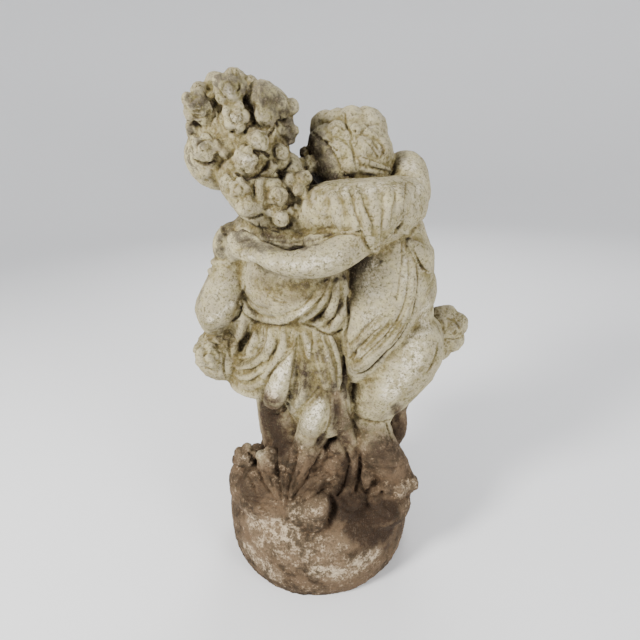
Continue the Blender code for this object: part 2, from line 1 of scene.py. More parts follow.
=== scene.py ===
"""Weathered cast-stone garden group: two embracing putti on a rocky mound, cast as one piece.

The piece is modelled as a sculptor models clay. Soft masses make the bodies, the clothes and the
mound. Curls, folds, roses and leaves are laid on them and everything is melted into one skin. The
skin is then carved with cuts, swellings and cloth edges, roughened by weather, and painted with
layers of wear, lichen, ochre and soil that the finish reads. The finish also paints shade into
hollows, deep places and shadowed spots, and paints highlights on a few places.

Lengths are millimetres until the skin is done. The backs of the children look along -Y. The skirted
child stands at -X and the draped child at +X. Marks on the surface are drawn as an eye sees them:
u to the right and v down, in the grid of that eye.
"""

import logging
import math
import random
from dataclasses import dataclass
from enum import Enum

import bmesh
import bpy
import numpy as np
from mathutils import Euler, Matrix, Vector, kdtree, noise
from mathutils.bvhtree import BVHTree

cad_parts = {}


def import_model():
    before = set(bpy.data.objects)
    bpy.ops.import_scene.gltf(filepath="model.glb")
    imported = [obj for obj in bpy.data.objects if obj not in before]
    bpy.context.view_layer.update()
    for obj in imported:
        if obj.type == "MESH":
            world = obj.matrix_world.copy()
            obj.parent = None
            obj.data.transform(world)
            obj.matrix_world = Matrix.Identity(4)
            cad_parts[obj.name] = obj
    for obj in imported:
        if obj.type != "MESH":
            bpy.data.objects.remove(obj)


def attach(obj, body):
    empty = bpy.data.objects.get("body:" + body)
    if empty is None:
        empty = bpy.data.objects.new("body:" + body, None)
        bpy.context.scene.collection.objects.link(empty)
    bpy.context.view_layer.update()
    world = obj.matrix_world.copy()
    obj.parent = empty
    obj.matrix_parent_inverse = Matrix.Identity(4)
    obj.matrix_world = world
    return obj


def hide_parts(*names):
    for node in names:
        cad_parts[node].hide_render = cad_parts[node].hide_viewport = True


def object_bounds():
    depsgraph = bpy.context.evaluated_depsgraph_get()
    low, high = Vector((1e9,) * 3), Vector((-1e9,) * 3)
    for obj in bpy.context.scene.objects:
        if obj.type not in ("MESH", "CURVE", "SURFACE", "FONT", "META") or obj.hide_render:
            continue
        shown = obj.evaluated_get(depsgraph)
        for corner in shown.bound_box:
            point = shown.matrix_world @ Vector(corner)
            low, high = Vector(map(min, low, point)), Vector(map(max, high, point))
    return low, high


log = logging.getLogger("putti")

MILLIMETRES = 1000.0  # in one metre

Row = tuple[float, ...]
Marks = tuple[Row, ...]
Colour = tuple[float, float, float]
Trace = list[tuple[Vector, Vector, float]]
Socket = bpy.types.NodeSocket


def smooth_path(points: list[Row] | Marks, steps: int) -> list[Vector]:
    """Draws a Catmull-Rom line through points.

    Args:
        points: Rows of any numbers, all of the same length.
        steps: Rows to make for each span.

    Returns:
        The rows of the smooth line, ending on the last point.
    """
    rows = [Vector(p) for p in points]
    if len(rows) == 1:
        return rows
    rows = [2 * rows[0] - rows[1], *rows, 2 * rows[-1] - rows[-2]]
    line = []
    for before, start, end, after in zip(rows, rows[1:], rows[2:], rows[3:]):
        for i in range(steps):
            t = i / steps
            bend = (2 * before - 5 * start + 4 * end - after) * t**2
            twist = (3 * start - before - 3 * end + after) * t**3
            line.append(0.5 * (2 * start + (end - before) * t + bend + twist))
    line.append(rows[-2])
    return line


def spiral(u: float, v: float, half: float, turns: float = 1.5) -> Marks:
    """Marks of a spiral cut round (u, v), as wide as half."""
    steps = 12
    rows = []
    for i in range(steps + 1):
        share = i / steps
        angle = math.tau * turns * share
        reach = half * (0.15 + 0.75 * share)
        spot = (u + reach * math.cos(angle), v + reach * math.sin(angle))
        rows.append((*spot, max(1.2, 0.22 * half)))
    return tuple(rows)


def petal_edge(u: float, v: float, half: float, chance: random.Random) -> Marks:
    """Marks of one worn petal's edge: an arc somewhere round (u, v), inside half."""
    reach = half * chance.uniform(0.2, 0.8)
    start = chance.uniform(0, math.tau)
    sweep = chance.uniform(1.0, 2.6)
    u += half * chance.uniform(-0.15, 0.15)
    v += half * chance.uniform(-0.15, 0.15)
    rows = []
    for i in range(6):
        angle = start + sweep * i / 5
        width = max(1.1, 0.17 * half * math.sin(math.pi * (i + 1) / 7))
        rows.append((u + reach * math.cos(angle), v + reach * math.sin(angle), width))
    return tuple(rows)


@dataclass(frozen=True)
class Eye:
    """A point that marks are drawn from, with the grid that it sees them in.

    heading turns it to the left from +Y, down and roll tip it; all three are in degrees.
    """

    spot: Row
    heading: float
    down: float
    roll: float
    focal: float = 462.0
    middle: float = 320.0

    def axes(self) -> tuple[Vector, Vector, Vector]:
        """The ways to the right, up and ahead."""
        spin = Matrix.Rotation(math.radians(self.heading), 3, "Z")
        down, roll = math.radians(self.down), math.radians(self.roll)
        ahead = spin @ Vector((0.0, math.cos(down), -math.sin(down)))
        level = spin @ Vector((1.0, 0.0, 0.0))
        over = spin @ Vector((0.0, math.sin(down), math.cos(down)))
        right = level * math.cos(roll) - over * math.sin(roll)
        up = level * math.sin(roll) + over * math.cos(roll)
        return right, up, ahead

    def sight(self, u: float, v: float) -> Vector:
        """The direction through a point of the grid."""
        right, up, ahead = self.axes()
        return (ahead * self.focal + right * (u - self.middle) - up * (v - self.middle)).normalized()

    def seen_size(self, spot: Vector, marks: float) -> float:
        """The real size of a mark that many grid units across at a spot."""
        return marks * (spot - Vector(self.spot)).length / self.focal


BACK_EYE = Eye(spot=(17.1, -567.0, 581.0), heading=0.0, down=22.0, roll=3.0)
FRONT_EYE = Eye(spot=(10.0, 760.0, 400.0), heading=180.0, down=5.0, roll=0.0)


class Skin:
    """A surface that the marks of an eye can be thrown on."""

    def __init__(self, pile: bmesh.types.BMesh) -> None:
        """Reads the surface of a bmesh."""
        self.tree = BVHTree.FromBMesh(pile)

    def touch(self, eye: Eye, u: float, v: float) -> tuple[Vector, Vector]:
        """Where the sight through (u, v) meets the surface or passes nearest to it, and the way out."""
        start, ray = Vector(eye.spot), eye.sight(u, v)
        hit, normal, _, _ = self.tree.ray_cast(start, ray)
        if hit is not None:
            return hit, normal
        spot = start - ray * (start.y / ray.y)
        for _ in range(4):
            near, normal, _, _ = self.tree.find_nearest(spot)
            spot = start + ray * (near - start).dot(ray)
        return near.lerp(spot, 0.5), normal

    def trace(self, eye: Eye, marks: Marks) -> Trace:
        """Throws a line of marks on the surface.

        Args:
            eye: The eye that the marks are drawn from.
            marks: Rows of u, v and half width.

        Returns:
            A spot, the way out there and the real half width for each step of the line.
        """
        spans = [math.dist(a[:2], b[:2]) for a, b in zip(marks, marks[1:])]
        finest = max(1.0, 0.6 * min(m[2] for m in marks))
        steps = max(2, math.ceil(max(spans, default=0.0) / finest))
        found = []
        for u, v, half in smooth_path(marks, steps):
            spot, normal = self.touch(eye, u, v)
            found.append((spot, normal, eye.seen_size(spot, half)))
        calm = []
        for i, (spot, _, radius) in enumerate(found):
            around = found[max(0, i - 2) : i + 3]
            calm.append((spot, sum((n for _, n, _ in around), Vector()).normalized(), radius))
        return calm


class Clay:
    """Lumps of clay, each a closed mesh, that are pressed together later."""

    def __init__(self) -> None:
        """Starts with no lumps."""
        self.lumps: list[bpy.types.Mesh] = []

    def take(self, lump: bmesh.types.BMesh) -> None:
        """Keeps a bmesh as one lump, with its faces pointing out."""
        bmesh.ops.recalc_face_normals(lump, faces=lump.faces)
        mesh = bpy.data.meshes.new("lump")
        lump.to_mesh(mesh)
        lump.free()
        self.lumps.append(mesh)

    def whole(self) -> bmesh.types.BMesh:
        """All the lumps in one bmesh."""
        pile = bmesh.new()
        for mesh in self.lumps:
            pile.from_mesh(mesh)
        return pile

    def sphere(self, matrix: Matrix, cuts: int = 3) -> None:
        """Adds the unit sphere under a matrix."""
        lump = bmesh.new()
        bmesh.ops.create_icosphere(lump, subdivisions=cuts, radius=1.0, matrix=matrix)
        self.take(lump)

    def ball(self, centre: Row | Vector, radii: Row, turn: Row = (0.0, 0.0, 0.0)) -> None:
        """Adds an ellipsoid; turn is in degrees about x, y and z."""
        turned = Euler([math.radians(a) for a in turn]).to_matrix().to_4x4()
        size = Matrix.Diagonal(radii).to_4x4()
        self.sphere(Matrix.Translation(centre) @ turned @ size)

    def tube(self, frames: list[Matrix], sides: int) -> None:
        """Adds a closed tube whose rings are the unit circle under each of the frames."""
        lump = bmesh.new()
        ring = bmesh.ops.create_circle(
            lump, cap_ends=True, segments=sides, radius=1.0, matrix=frames[0]
        )["verts"]
        cap = ring[0].link_faces[0]
        for before, frame in zip(frames, frames[1:]):
            grown = bmesh.ops.extrude_face_region(lump, geom=[cap], use_keep_orig=True)["geom"]
            verts = [v for v in grown if isinstance(v, bmesh.types.BMVert)]
            cap = next(f for f in grown if isinstance(f, bmesh.types.BMFace))
            bmesh.ops.transform(lump, matrix=frame @ before.inverted(), verts=verts)
        self.take(lump)

    def loft(
        self,
        centres: list[Vector],
        radii: list[float],
        flat: float = 1.0,
        out: list[Vector] | None = None,
    ) -> None:
        """Adds a round-ended tube.

        Args:
            centres: The middle of each ring.
            radii: The half width of each ring.
            flat: The half thickness as a share of the half width.
            out: The way of the thin side for each ring, or None for no particular way.
        """
        frames = []
        last = len(centres) - 1
        for i, (centre, radius) in enumerate(zip(centres, radii)):
            along = (centres[min(i + 1, last)] - centres[max(i - 1, 0)]).normalized()
            turn = along.to_track_quat("Z", "Y").to_matrix()
            if out is not None:
                side = out[i].cross(along).normalized()
                turn = Matrix((side, along.cross(side), along)).transposed()
            size = Matrix.Diagonal((radius, radius * flat, radius, 1.0))
            frames.append(Matrix.Translation(centre) @ turn.to_4x4() @ size)
        self.tube(frames, 14)
        for frame in (frames[0], frames[-1]):
            self.sphere(frame, 2)

    def limb(self, points: list[Row] | Marks, flat: float = 1.0) -> None:
        """Adds a round-ended limb through rows of x, y, z and radius."""
        line = smooth_path(points, 6)
        self.loft([Vector(p[:3]) for p in line], [max(p[3], 0.5) for p in line], flat)

    def barrel(self, levels: list[Row] | Marks, sides: int = 40) -> None:
        """Adds a stack of level ellipses, each x, y, z, half width and half depth."""
        frames = []
        for x, y, z, wide, deep in smooth_path(levels, 6):
            size = Matrix.Diagonal((wide, deep, 1.0, 1.0))
            frames.append(Matrix.Translation((x, y, z)) @ size)
        self.tube(frames, sides)

    def fold(self, trace: Trace, flat: float, stand: float) -> None:
        """Adds a roll of cloth along a trace; stand is how far it rises, in half widths."""
        radii = [radius for _, _, radius in trace]
        centres = [spot + out * (stand - flat) * radius for spot, out, radius in trace]
        self.loft(centres, radii, flat, [out for _, out, _ in trace])

    def lump(self, centre: Vector, radius: float, chance: random.Random) -> None:
        """Adds an uneven round lump: a ball with smaller ones sunk in it."""
        self.sphere(Matrix.Translation(centre) @ Matrix.Scale(radius * 0.92, 4), 2)
        for _ in range(8):
            way = Vector([chance.gauss(0, 1) for _ in range(3)]).normalized()
            size = radius * chance.uniform(0.3, 0.55)
            spot = centre + way * (radius - 0.85 * size)
            self.ball(spot, (size, size * chance.uniform(0.7, 1.0), size))

    def rose(self, centre: Row | Vector, out: Row, size: float) -> None:
        """Adds an open rose: a round heart in two rings of petals, facing out."""
        turn = Vector(out).normalized().to_track_quat("Z", "Y").to_matrix()
        degrees = [math.degrees(a) for a in turn.to_euler()]
        heart = Vector(centre)
        self.ball(heart + turn @ Vector((0, 0, -0.4)) * size, (size * 0.8,) * 3)
        self.ball(heart + turn @ Vector((0, 0, 0.25)) * size, (size * 0.3,) * 3)
        for count, reach, petal, rise in ((3, 0.32, 0.34, 0.1), (5, 0.62, 0.42, -0.12)):
            for i in range(count):
                angle = math.tau * (i + 0.5 * (count == 3)) / count
                spot = Vector((math.cos(angle) * reach, math.sin(angle) * reach, rise)) * size
                lean = (degrees[0], degrees[1], degrees[2] + math.degrees(angle))
                self.ball(heart + turn @ spot, (petal * size * 0.8, petal * size, petal * size), lean)

    def leaf(self, root: Row | Vector, tip: Row | Vector, half: float, thick: float = 4.0) -> None:
        """Adds a long leaf from root to tip, widest in its middle."""
        start, end = Vector(root), Vector(tip)
        widths = ((0.0, 0.35), (0.3, 0.85), (0.6, 1.0), (0.85, 0.6), (1.0, 0.15))
        self.limb([(*start.lerp(end, t), half * w) for t, w in widths], thick / half)

    def hand(self, wrist: Row, tip: Row, across: Row) -> None:
        """Adds a small hand: palm, four fingers side by side and a thumb."""
        start, end, side = Vector(wrist), Vector(tip), Vector(across).normalized()
        reach = end - start
        palm = start + reach * 0.4
        self.limb([(*start, 13), (*(start + reach * 0.25), 13), (*palm, 11)], 0.9)
        for i, long in enumerate((0.5, 0.6, 0.62, 0.5)):
            root = palm + side * (i - 1.5) * 6.6
            end = palm + reach * long + side * (i - 1.5) * 7.4
            self.limb([(*root, 5.2), (*root.lerp(end, 0.5), 5.0), (*end, 4.0)])
        thumb = palm + side * 11 - reach * 0.1
        self.limb([(*thumb, 5.5), (*(thumb + reach * 0.35 + side * 5), 4.4)])

    def melt(self, name: str, voxel: float, rounds: int) -> bpy.types.Mesh:
        """Melts the lumps into one closed mesh.

        Args:
            name: The name of the mesh.
            voxel: How fine the melted mesh is.
            rounds: How often it is smoothed.

        Returns:
            The melted mesh.
        """
        pile = self.whole()
        mesh = bpy.data.meshes.new(name)
        pile.to_mesh(mesh)
        pile.free()
        obj = bpy.data.objects.new(name, mesh)
        bpy.context.scene.collection.objects.link(obj)
        remesh = obj.modifiers.new("melt", "REMESH")
        remesh.mode = "VOXEL"
        remesh.voxel_size = voxel
        smooth = obj.modifiers.new("soften", "SMOOTH")
        smooth.iterations = rounds
        graph = bpy.context.evaluated_depsgraph_get()
        melted = bpy.data.meshes.new_from_object(obj.evaluated_get(graph))
        melted.name = name
        bpy.data.objects.remove(obj)
        return melted


@dataclass(frozen=True)
class Head:
    """A child's head, drawn in shares of its radius: x to its right, y forward, z up.

    curled is where the curls of its front start and end round the head, in degrees from its right.
    """

    centre: Row
    radius: float
    turn: Row
    curled: tuple[float, float]

    def point(self, share: Row) -> Vector:
        """A point of the head in the group."""
        turn = Euler([math.radians(a) for a in self.turn]).to_matrix()
        return Vector(self.centre) + turn @ Vector(share) * self.radius

    def ball(self, clay: Clay, centre: Row, radii: Row) -> None:
        """Adds an ellipsoid that turns with the head."""
        clay.ball(self.point(centre), [r * self.radius for r in radii], self.turn)

    def limb(self, clay: Clay, points: list[Row], flat: float = 1.0) -> None:
        """Adds a limb drawn in shares of the head."""
        clay.limb([(*self.point(p[:3]), p[3] * self.radius) for p in points], flat)

    def shape_skull(self, clay: Clay) -> None:
        """Adds the round skull with full cheeks, jaw and chin."""
        self.ball(clay, (0, -0.08, 0.05), (0.96, 1.0, 0.98))
        self.ball(clay, (0, 0.3, -0.34), (0.72, 0.6, 0.6))
        self.ball(clay, (0, 0.74, -0.74), (0.21, 0.2, 0.17))
        for side in (-1, 1):
            self.ball(clay, (0.42 * side, 0.6, -0.38), (0.34, 0.3, 0.32))

    def shape_face(self, clay: Clay) -> None:
        """Adds the brows, lids, eyes, nose, lips and ears of a calm child."""
        for side in (-1, 1):
            brow = [(0.12, 0.9, 0.12, 0.05), (0.34, 0.86, 0.19, 0.07), (0.58, 0.7, 0.12, 0.04)]
            upper = [(0.19, 0.88, -0.07, 0.025), (0.34, 0.91, 0.01, 0.035), (0.5, 0.78, -0.07, 0.025)]
            lower = [(0.19, 0.88, -0.07, 0.02), (0.34, 0.87, -0.15, 0.03), (0.5, 0.78, -0.07, 0.02)]
            shell = [(0.92, 0.04, 0.14, 0.05), (1.02, -0.08, 0.06, 0.07), (0.99, -0.1, -0.1, 0.07)]
            lobe = [(0.99, -0.1, -0.1, 0.07), (0.94, 0.0, -0.26, 0.08)]
            for line in (brow, upper, lower, shell, lobe):
                self.limb(clay, [(x * side, y, z, r) for x, y, z, r in line])
            self.ball(clay, (0.34 * side, 0.77, -0.07), (0.15, 0.12, 0.1))
            self.ball(clay, (0.1 * side, 0.95, -0.26), (0.075, 0.09, 0.065))
        self.limb(clay, [(0, 0.88, 0.08, 0.065), (0, 0.96, -0.1, 0.075), (0, 1.02, -0.22, 0.1)])
        for height, wide, thick in ((-0.45, 0.17, 0.045), (-0.54, 0.13, 0.055)):
            lip = [(x, 0.86 - thick + 0.07 * (x == 0), height, thick) for x in (-wide, 0, wide)]
            self.limb(clay, lip)

    def curl_front(self, clay: Clay, chance: random.Random) -> None:
        """Adds curls over the half of the head that looks forward, down to the brow."""
        start, end = self.curled
        for i in range(34):
            height = 0.36 + 0.42 * (i % 5) / 4
            angle = math.radians(start + (end - start) * ((i * 0.382) % 1.0))
            ring = 0.97 * math.sqrt(1 - height**2)
            spot = (ring * math.cos(angle), ring * math.sin(angle), height * 0.92)
            size = chance.uniform(0.15, 0.21)
            self.ball(clay, spot, (size,) * 3)
            side = chance.choice((-1, 1))
            hook = []
            for k in range(5):
                turn = k * 1.1 * side
                reach = 1.15 - 0.12 * k
                aside = (math.sin(turn) * reach * size, 0.0, math.cos(turn) * reach * size)
                hook.append((spot[0] + aside[0], spot[1] + 0.3 * size, spot[2] + aside[2], 0.06))
            self.limb(clay, hook)


SKIRTED_HEAD = Head((-66, 6, 582), 52, (-14, -16, 14), (-12, 178))
DRAPED_HEAD = Head((63, 26, 549), 51, (2, -6, 50), (18, 96))


@dataclass
class Mass:
    """Lumps that melt into one soft body.

    balls are centre and radii, with a turn where there is one; limbs are rows of x, y, z and
    radius; barrels are rows of x, y, z, half width and half depth.
    """

    name: str = "mass"
    balls: tuple = ()
    limbs: tuple = ()
    barrels: tuple = ()
    voxel: float = 2.6
    rounds: int = 4

    def shape(self, clay: Clay) -> None:
        """Lays all the lumps of the body."""
        for ball in self.balls:
            clay.ball(*ball)
        for limb in self.limbs:
            clay.limb(limb)
        for levels in self.barrels:
            clay.barrel(levels)

    def melt(self) -> bpy.types.Mesh:
        """Builds the body as one closed mesh."""
        clay = Clay()
        self.shape(clay)
        return clay.melt(self.name, self.voxel, self.rounds)


@dataclass
class SkirtedChild(Mass):
    """The skirted child under the dress, with both arms and legs and the stone between them."""

    name: str = "skirted"
    balls: tuple = (
        ((-8, 0, 312), (54, 48, 48)),
        ((-16, 0, 365), (47, 44, 42)),
        ((-24, 0, 428), (54, 47, 54)),
        ((-26, -18, 180), (36, 24, 70)),
    )
    limbs: tuple = (
        ((-72, -4, 466, 24), (-40, -5, 480, 29), (0, -8, 490, 29), (26, -14, 497, 27)),
        ((-28, 0, 478, 28), (-46, 2, 530, 28)),
        ((-74, -6, 464, 24), (-92, -12, 420, 26), (-114, -16, 382, 27)),
        ((-114, -16, 380, 26), (-120, 16, 350, 22), (-108, 58, 334, 15)),
        ((26, -18, 500, 27), (75, -34, 506, 26), (126, -14, 508, 25)),
        ((131, -8, 510, 25), (130, 20, 534, 24), (114, 56, 522, 17)),
        ((-38, 4, 292, 42), (-50, 2, 225, 30), (-52, 0, 190, 27)),
        ((-52, 0, 190, 27), (-50, -5, 158, 24), (-46, 2, 126, 17), (-48, 10, 118, 16)),
        ((10, -6, 292, 40), (20, -26, 250, 28)),
        ((20, -28, 250, 26), (4, -46, 212, 21), (-14, -46, 176, 16), (-18, -40, 140, 15)),
        ((-47, 4, 128, 16), (-52, 34, 130, 14), (-56, 60, 128, 10)),
        ((-18, -38, 134, 15), (-10, -8, 132, 14), (-4, 18, 128, 11)),
    )

    def shape(self, clay: Clay) -> None:
        """Lays the body, the skull and both hands."""
        super().shape(clay)
        SKIRTED_HEAD.shape_skull(clay)
        clay.hand((-106, 60, 334), (-68, 80, 338), (0, 0, 1))
        clay.hand((114, 60, 517), (84, 74, 478), (1, 0.6, -0.4))


@dataclass
class DrapedChild(Mass):
    """The draped child, turned towards the other, with both arms and both legs."""

    name: str = "draped"
    balls: tuple = (
        ((118, -4, 314), (60, 54, 52)),
        ((135, -26, 314), (40, 42, 46)),
        ((128, -4, 358), (38, 40, 52)),
        ((54, -18, 240), (24, 24, 46)),
        ((150, 16, 310), (36, 38, 42)),
        ((106, 8, 362), (56, 52, 50)),
        ((108, 0, 425), (55, 50, 56)),
        ((114, -8, 392), (54, 48, 52)),
    )
    limbs: tuple = (
        ((84, -36, 466, 26), (106, 0, 474, 30), (128, 34, 452, 24)),
        ((98, 8, 478, 28), (80, 18, 520, 28)),
        (
            (104, -24, 480, 23),
            (84, -50, 477, 20),
            (59, -72, 468, 19),
            (36, -86, 459, 19),
            (12, -94, 456, 18),
            (-11, -94, 455, 14),
            (-34, -87, 462, 13),
        ),
        ((132, 34, 448, 23), (150, 50, 406, 22), (160, 62, 362, 20)),
        ((160, 62, 360, 19), (170, 72, 334, 16), (180, 66, 312, 14)),
        ((116, -18, 300, 56), (86, -32, 250, 40), (80, -38, 226, 28)),
        ((82, -42, 206, 25), (85, -48, 182, 29), (107, -50, 144, 25), (124, -50, 118, 18)),
        ((134, -44, 114, 12), (120, -56, 122, 18), (82, -78, 126, 13)),
        ((138, 26, 298, 44), (124, 34, 236, 34), (116, 38, 190, 27)),
        ((116, 38, 190, 26), (120, 34, 152, 24), (116, 34, 128, 17)),
        ((118, 32, 130, 16), (98, 56, 130, 15), (80, 76, 128, 11)),
    )

    def shape(self, clay: Clay) -> None:
        """Lays the body, the skull and both hands."""
        super().shape(clay)
        DRAPED_HEAD.shape_skull(clay)
        clay.hand((-34, -87, 464), (-78, -60, 474), (0, 0.4, 1))
        clay.hand((180, 66, 314), (190, 54, 286), (0, 1, 0))


@dataclass
class Dress(Mass):
    """Bodice, belted skirt, shoulder caps, puffed sleeve and the lap of the skirt held up."""

    name: str = "dress"
    rounds: int = 3
    balls: tuple = (
        ((-22, -6, 424), (62, 56, 54)),
        ((-16, -10, 402), (58, 56, 42)),
        ((26, -14, 418), (34, 48, 56)),
        ((-116, 6, 310), (40, 44, 38), (0, 20, 0)),
        ((-80, -10, 460), (30, 30, 28), (0, -40, 0)),
        ((40, -6, 372), (30, 44, 50)),
        ((-82, 8, 372), (34, 36, 44)),
    )
    limbs: tuple = (
        (
            (-56, -12, 474, 28),
            (0, -24, 486, 34),
            (40, -42, 500, 33),
            (84, -54, 498, 37),
            (116, -38, 503, 31),
        ),
        ((20, -66, 466, 14), (46, -56, 466, 18), (70, -40, 466, 18)),
        ((66, -66, 490, 20), (76, -76, 474, 13), (80, -80, 465, 7)),
        ((94, -66, 488, 18), (98, -68, 478, 10)),
    )
    barrels: tuple = (
        ((-6, -4, 385, 46, 46), (-12, -4, 350, 56, 54), (-24, -2, 308, 78, 64), (-32, 0, 268, 82, 64)),
        ((6, -8, 366, 44, 46), (8, -14, 310, 50, 56), (8, -20, 258, 48, 58), (16, -20, 212, 36, 48)),
    )


@dataclass
class HairBulk(Mass):
    """The rough bulk of both heads of hair, and of the curls that fall on the nape."""

    name: str = "hair"
    balls: tuple = (
        ((-66, -4, 583), (54, 49, 52)),
        ((-34, -4, 600), (34, 40, 36)),
        ((-44, -24, 568), (38, 32, 36)),
        ((-87, -4, 562), (40, 40, 38)),
        ((62, 16, 551), (50, 47, 45)),
    )
    limbs: tuple = (
        ((-56, -30, 540, 34), (-40, -38, 512, 29), (-24, -46, 494, 15)),
        ((-12, -20, 546, 19), (-6, -30, 524, 19), (-4, -44, 502, 11)),
    )


@dataclass
class ShortCloth(Mass):
    """The short cloth of the draped child, from the near shoulder over the back to the hip."""

    name: str = "short_cloth"
    balls: tuple = (((60, 0, 350), (30, 50, 90)), ((104, -6, 472), (45, 43, 22)))
    barrels: tuple = (
        (
            (102, -8, 474, 46, 46),
            (104, -10, 425, 58, 54),
            (92, -12, 370, 58, 58),
            (74, -12, 316, 48, 56),
            (62, -8, 282, 30, 44),
        ),
    )
    rolls: Marks = ((312, 19), (292, 21), (272, 17))

    def shape(self, clay: Clay) -> None:
        """Lays the cloth and its rolls across the front of the hips."""
        super().shape(clay)
        for height, size in self.rolls:
            hip, lap, thigh = (176, 44, height + 6), (128, 62, height - 8), (74, 46, height - 2)
            clay.limb([(*hip, size), (*lap, size + 3), (*thigh, size)], 0.7)
        clay.limb([(112, 58, 280, 22), (104, 60, 248, 16)], 0.7)


@dataclass
class Mound(Mass):
    """The drum of the mound with its rounded shoulder, the ground on it, the bush and the rocks."""

    name: str = "mound"
    rounds: int = 3
    reach: float = 134.0
    rise: float = 120.0
    profile: Marks = ((-0.12, 0.86), (0.05, 0.96), (0.27, 1.0), (0.57, 0.99), (0.8, 0.93), (0.95, 0.8))
    heaps: tuple = (
        ((-0.35, -0.38, 0.98), (66, 52, 46)),
        ((-0.68, -0.27, 1.02), (34, 40, 46)),
        ((0.07, -0.49, 0.98), (60, 50, 40)),
        ((-0.09, -0.68, 0.9), (34, 26, 26)),
        ((0.34, -0.1, 1.7), (30, 34, 52)),
        ((0.29, -0.29, 1.38), (36, 30, 40)),
        ((0.5, -0.15, 1.45), (26, 26, 44)),
        ((0.65, -0.44, 0.83), (44, 44, 34)),
        ((0.82, -0.15, 0.77), (28, 54, 34)),
        ((-0.15, -0.3, 1.33), (46, 30, 50)),
        ((0.0, -0.27, 1.32), (30, 22, 40)),
        ((0.51, -0.39, 1.15), (24, 20, 26)),
    )

    def spot(self, x: float, y: float, height: float) -> Row:
        """A place on the mound, in shares of its radius and its height."""
        return (x * self.reach, y * self.reach, height * self.rise)

    def shape(self, clay: Clay) -> None:
        """Lays the drum and all the heaps."""
        levels = [(*self.spot(0, 0, z), self.reach * wide, self.reach * wide) for z, wide in self.profile]
        clay.barrel(levels, 64)
        clay.ball(self.spot(0, 0, 0.83), (self.reach * 0.84, self.reach * 0.84, self.rise * 0.25))
        for spot, radii in self.heaps:
            clay.ball(self.spot(*spot), radii)

    def strew(self, clay: Clay, chance: random.Random) -> None:
        """Lays rocks and leaves round the feet on the side that looks forward."""
        for i in range(16):
            angle = math.radians(-10 + 200 * i / 15)
            size = chance.uniform(12, 21)
            turn = (0, chance.uniform(-20, 20), 40 * i)
            spot = self.spot(0.78 * math.cos(angle), 0.78 * math.sin(angle), 0.87)
            clay.ball(spot, (size, size * 0.9, size * 0.8), turn)
        for i in range(5):
            angle = math.radians(40 + 28 * i)
            root = self.spot(0.8 * math.cos(angle), 0.8 * math.sin(angle), 0.78)
            tip = self.spot(0.42 * math.cos(angle), 0.42 * math.sin(angle), 1.12)
            clay.leaf(root, tip, 12)


class Cut(Enum):
    """What a stroke of the chisel leaves behind."""

    GROOVE = "a sharp cut"
    RIDGE = "a soft swelling"
    EDGE = "cloth that ends over what lies under it, raised on the left of the stroke"


class Tool:
    """Something that works on a dense skin along marks."""

    def __init__(self, mesh: bpy.types.Mesh) -> None:
        """Reads where the skin is, which way it looks and what is near what."""
        self.mesh = mesh
        count = len(mesh.vertices)
        flat = np.empty(count * 3, np.float32)
        mesh.vertices.foreach_get("co", flat)
        self.spots = flat.reshape(-1, 3).astype(float)
        mesh.vertices.foreach_get("normal", flat)
        self.outs = flat.reshape(-1, 3).astype(float)
        self.near = kdtree.KDTree(count)
        for i, spot in enumerate(self.spots):
            self.near.insert(spot, i)
        self.near.balance()
        pile = bmesh.new()
        pile.from_mesh(mesh)
        self.skin = Skin(pile)
        pile.free()

    def reach(self, trace: Trace) -> tuple[np.ndarray, np.ndarray, np.ndarray]:
        """Finds the skin round a trace.

        Args:
            trace: The steps of the line.

        Returns:
            The vertices, their distance in shares of the half width, and the nearest step of each.
        """
        best: dict[int, tuple[float, int]] = {}
        for step, (spot, _, radius) in enumerate(trace):
            for _, index, gap in self.near.find_range(spot, radius):
                share = gap / radius
                if share < best.get(index, (1.0, 0))[0]:
                    best[index] = (share, step)
        picked = np.fromiter(best.keys(), int, len(best))
        shares = np.array([share for share, _ in best.values()])
        steps = np.array([step for _, step in best.values()], int)
        return picked, shares, steps


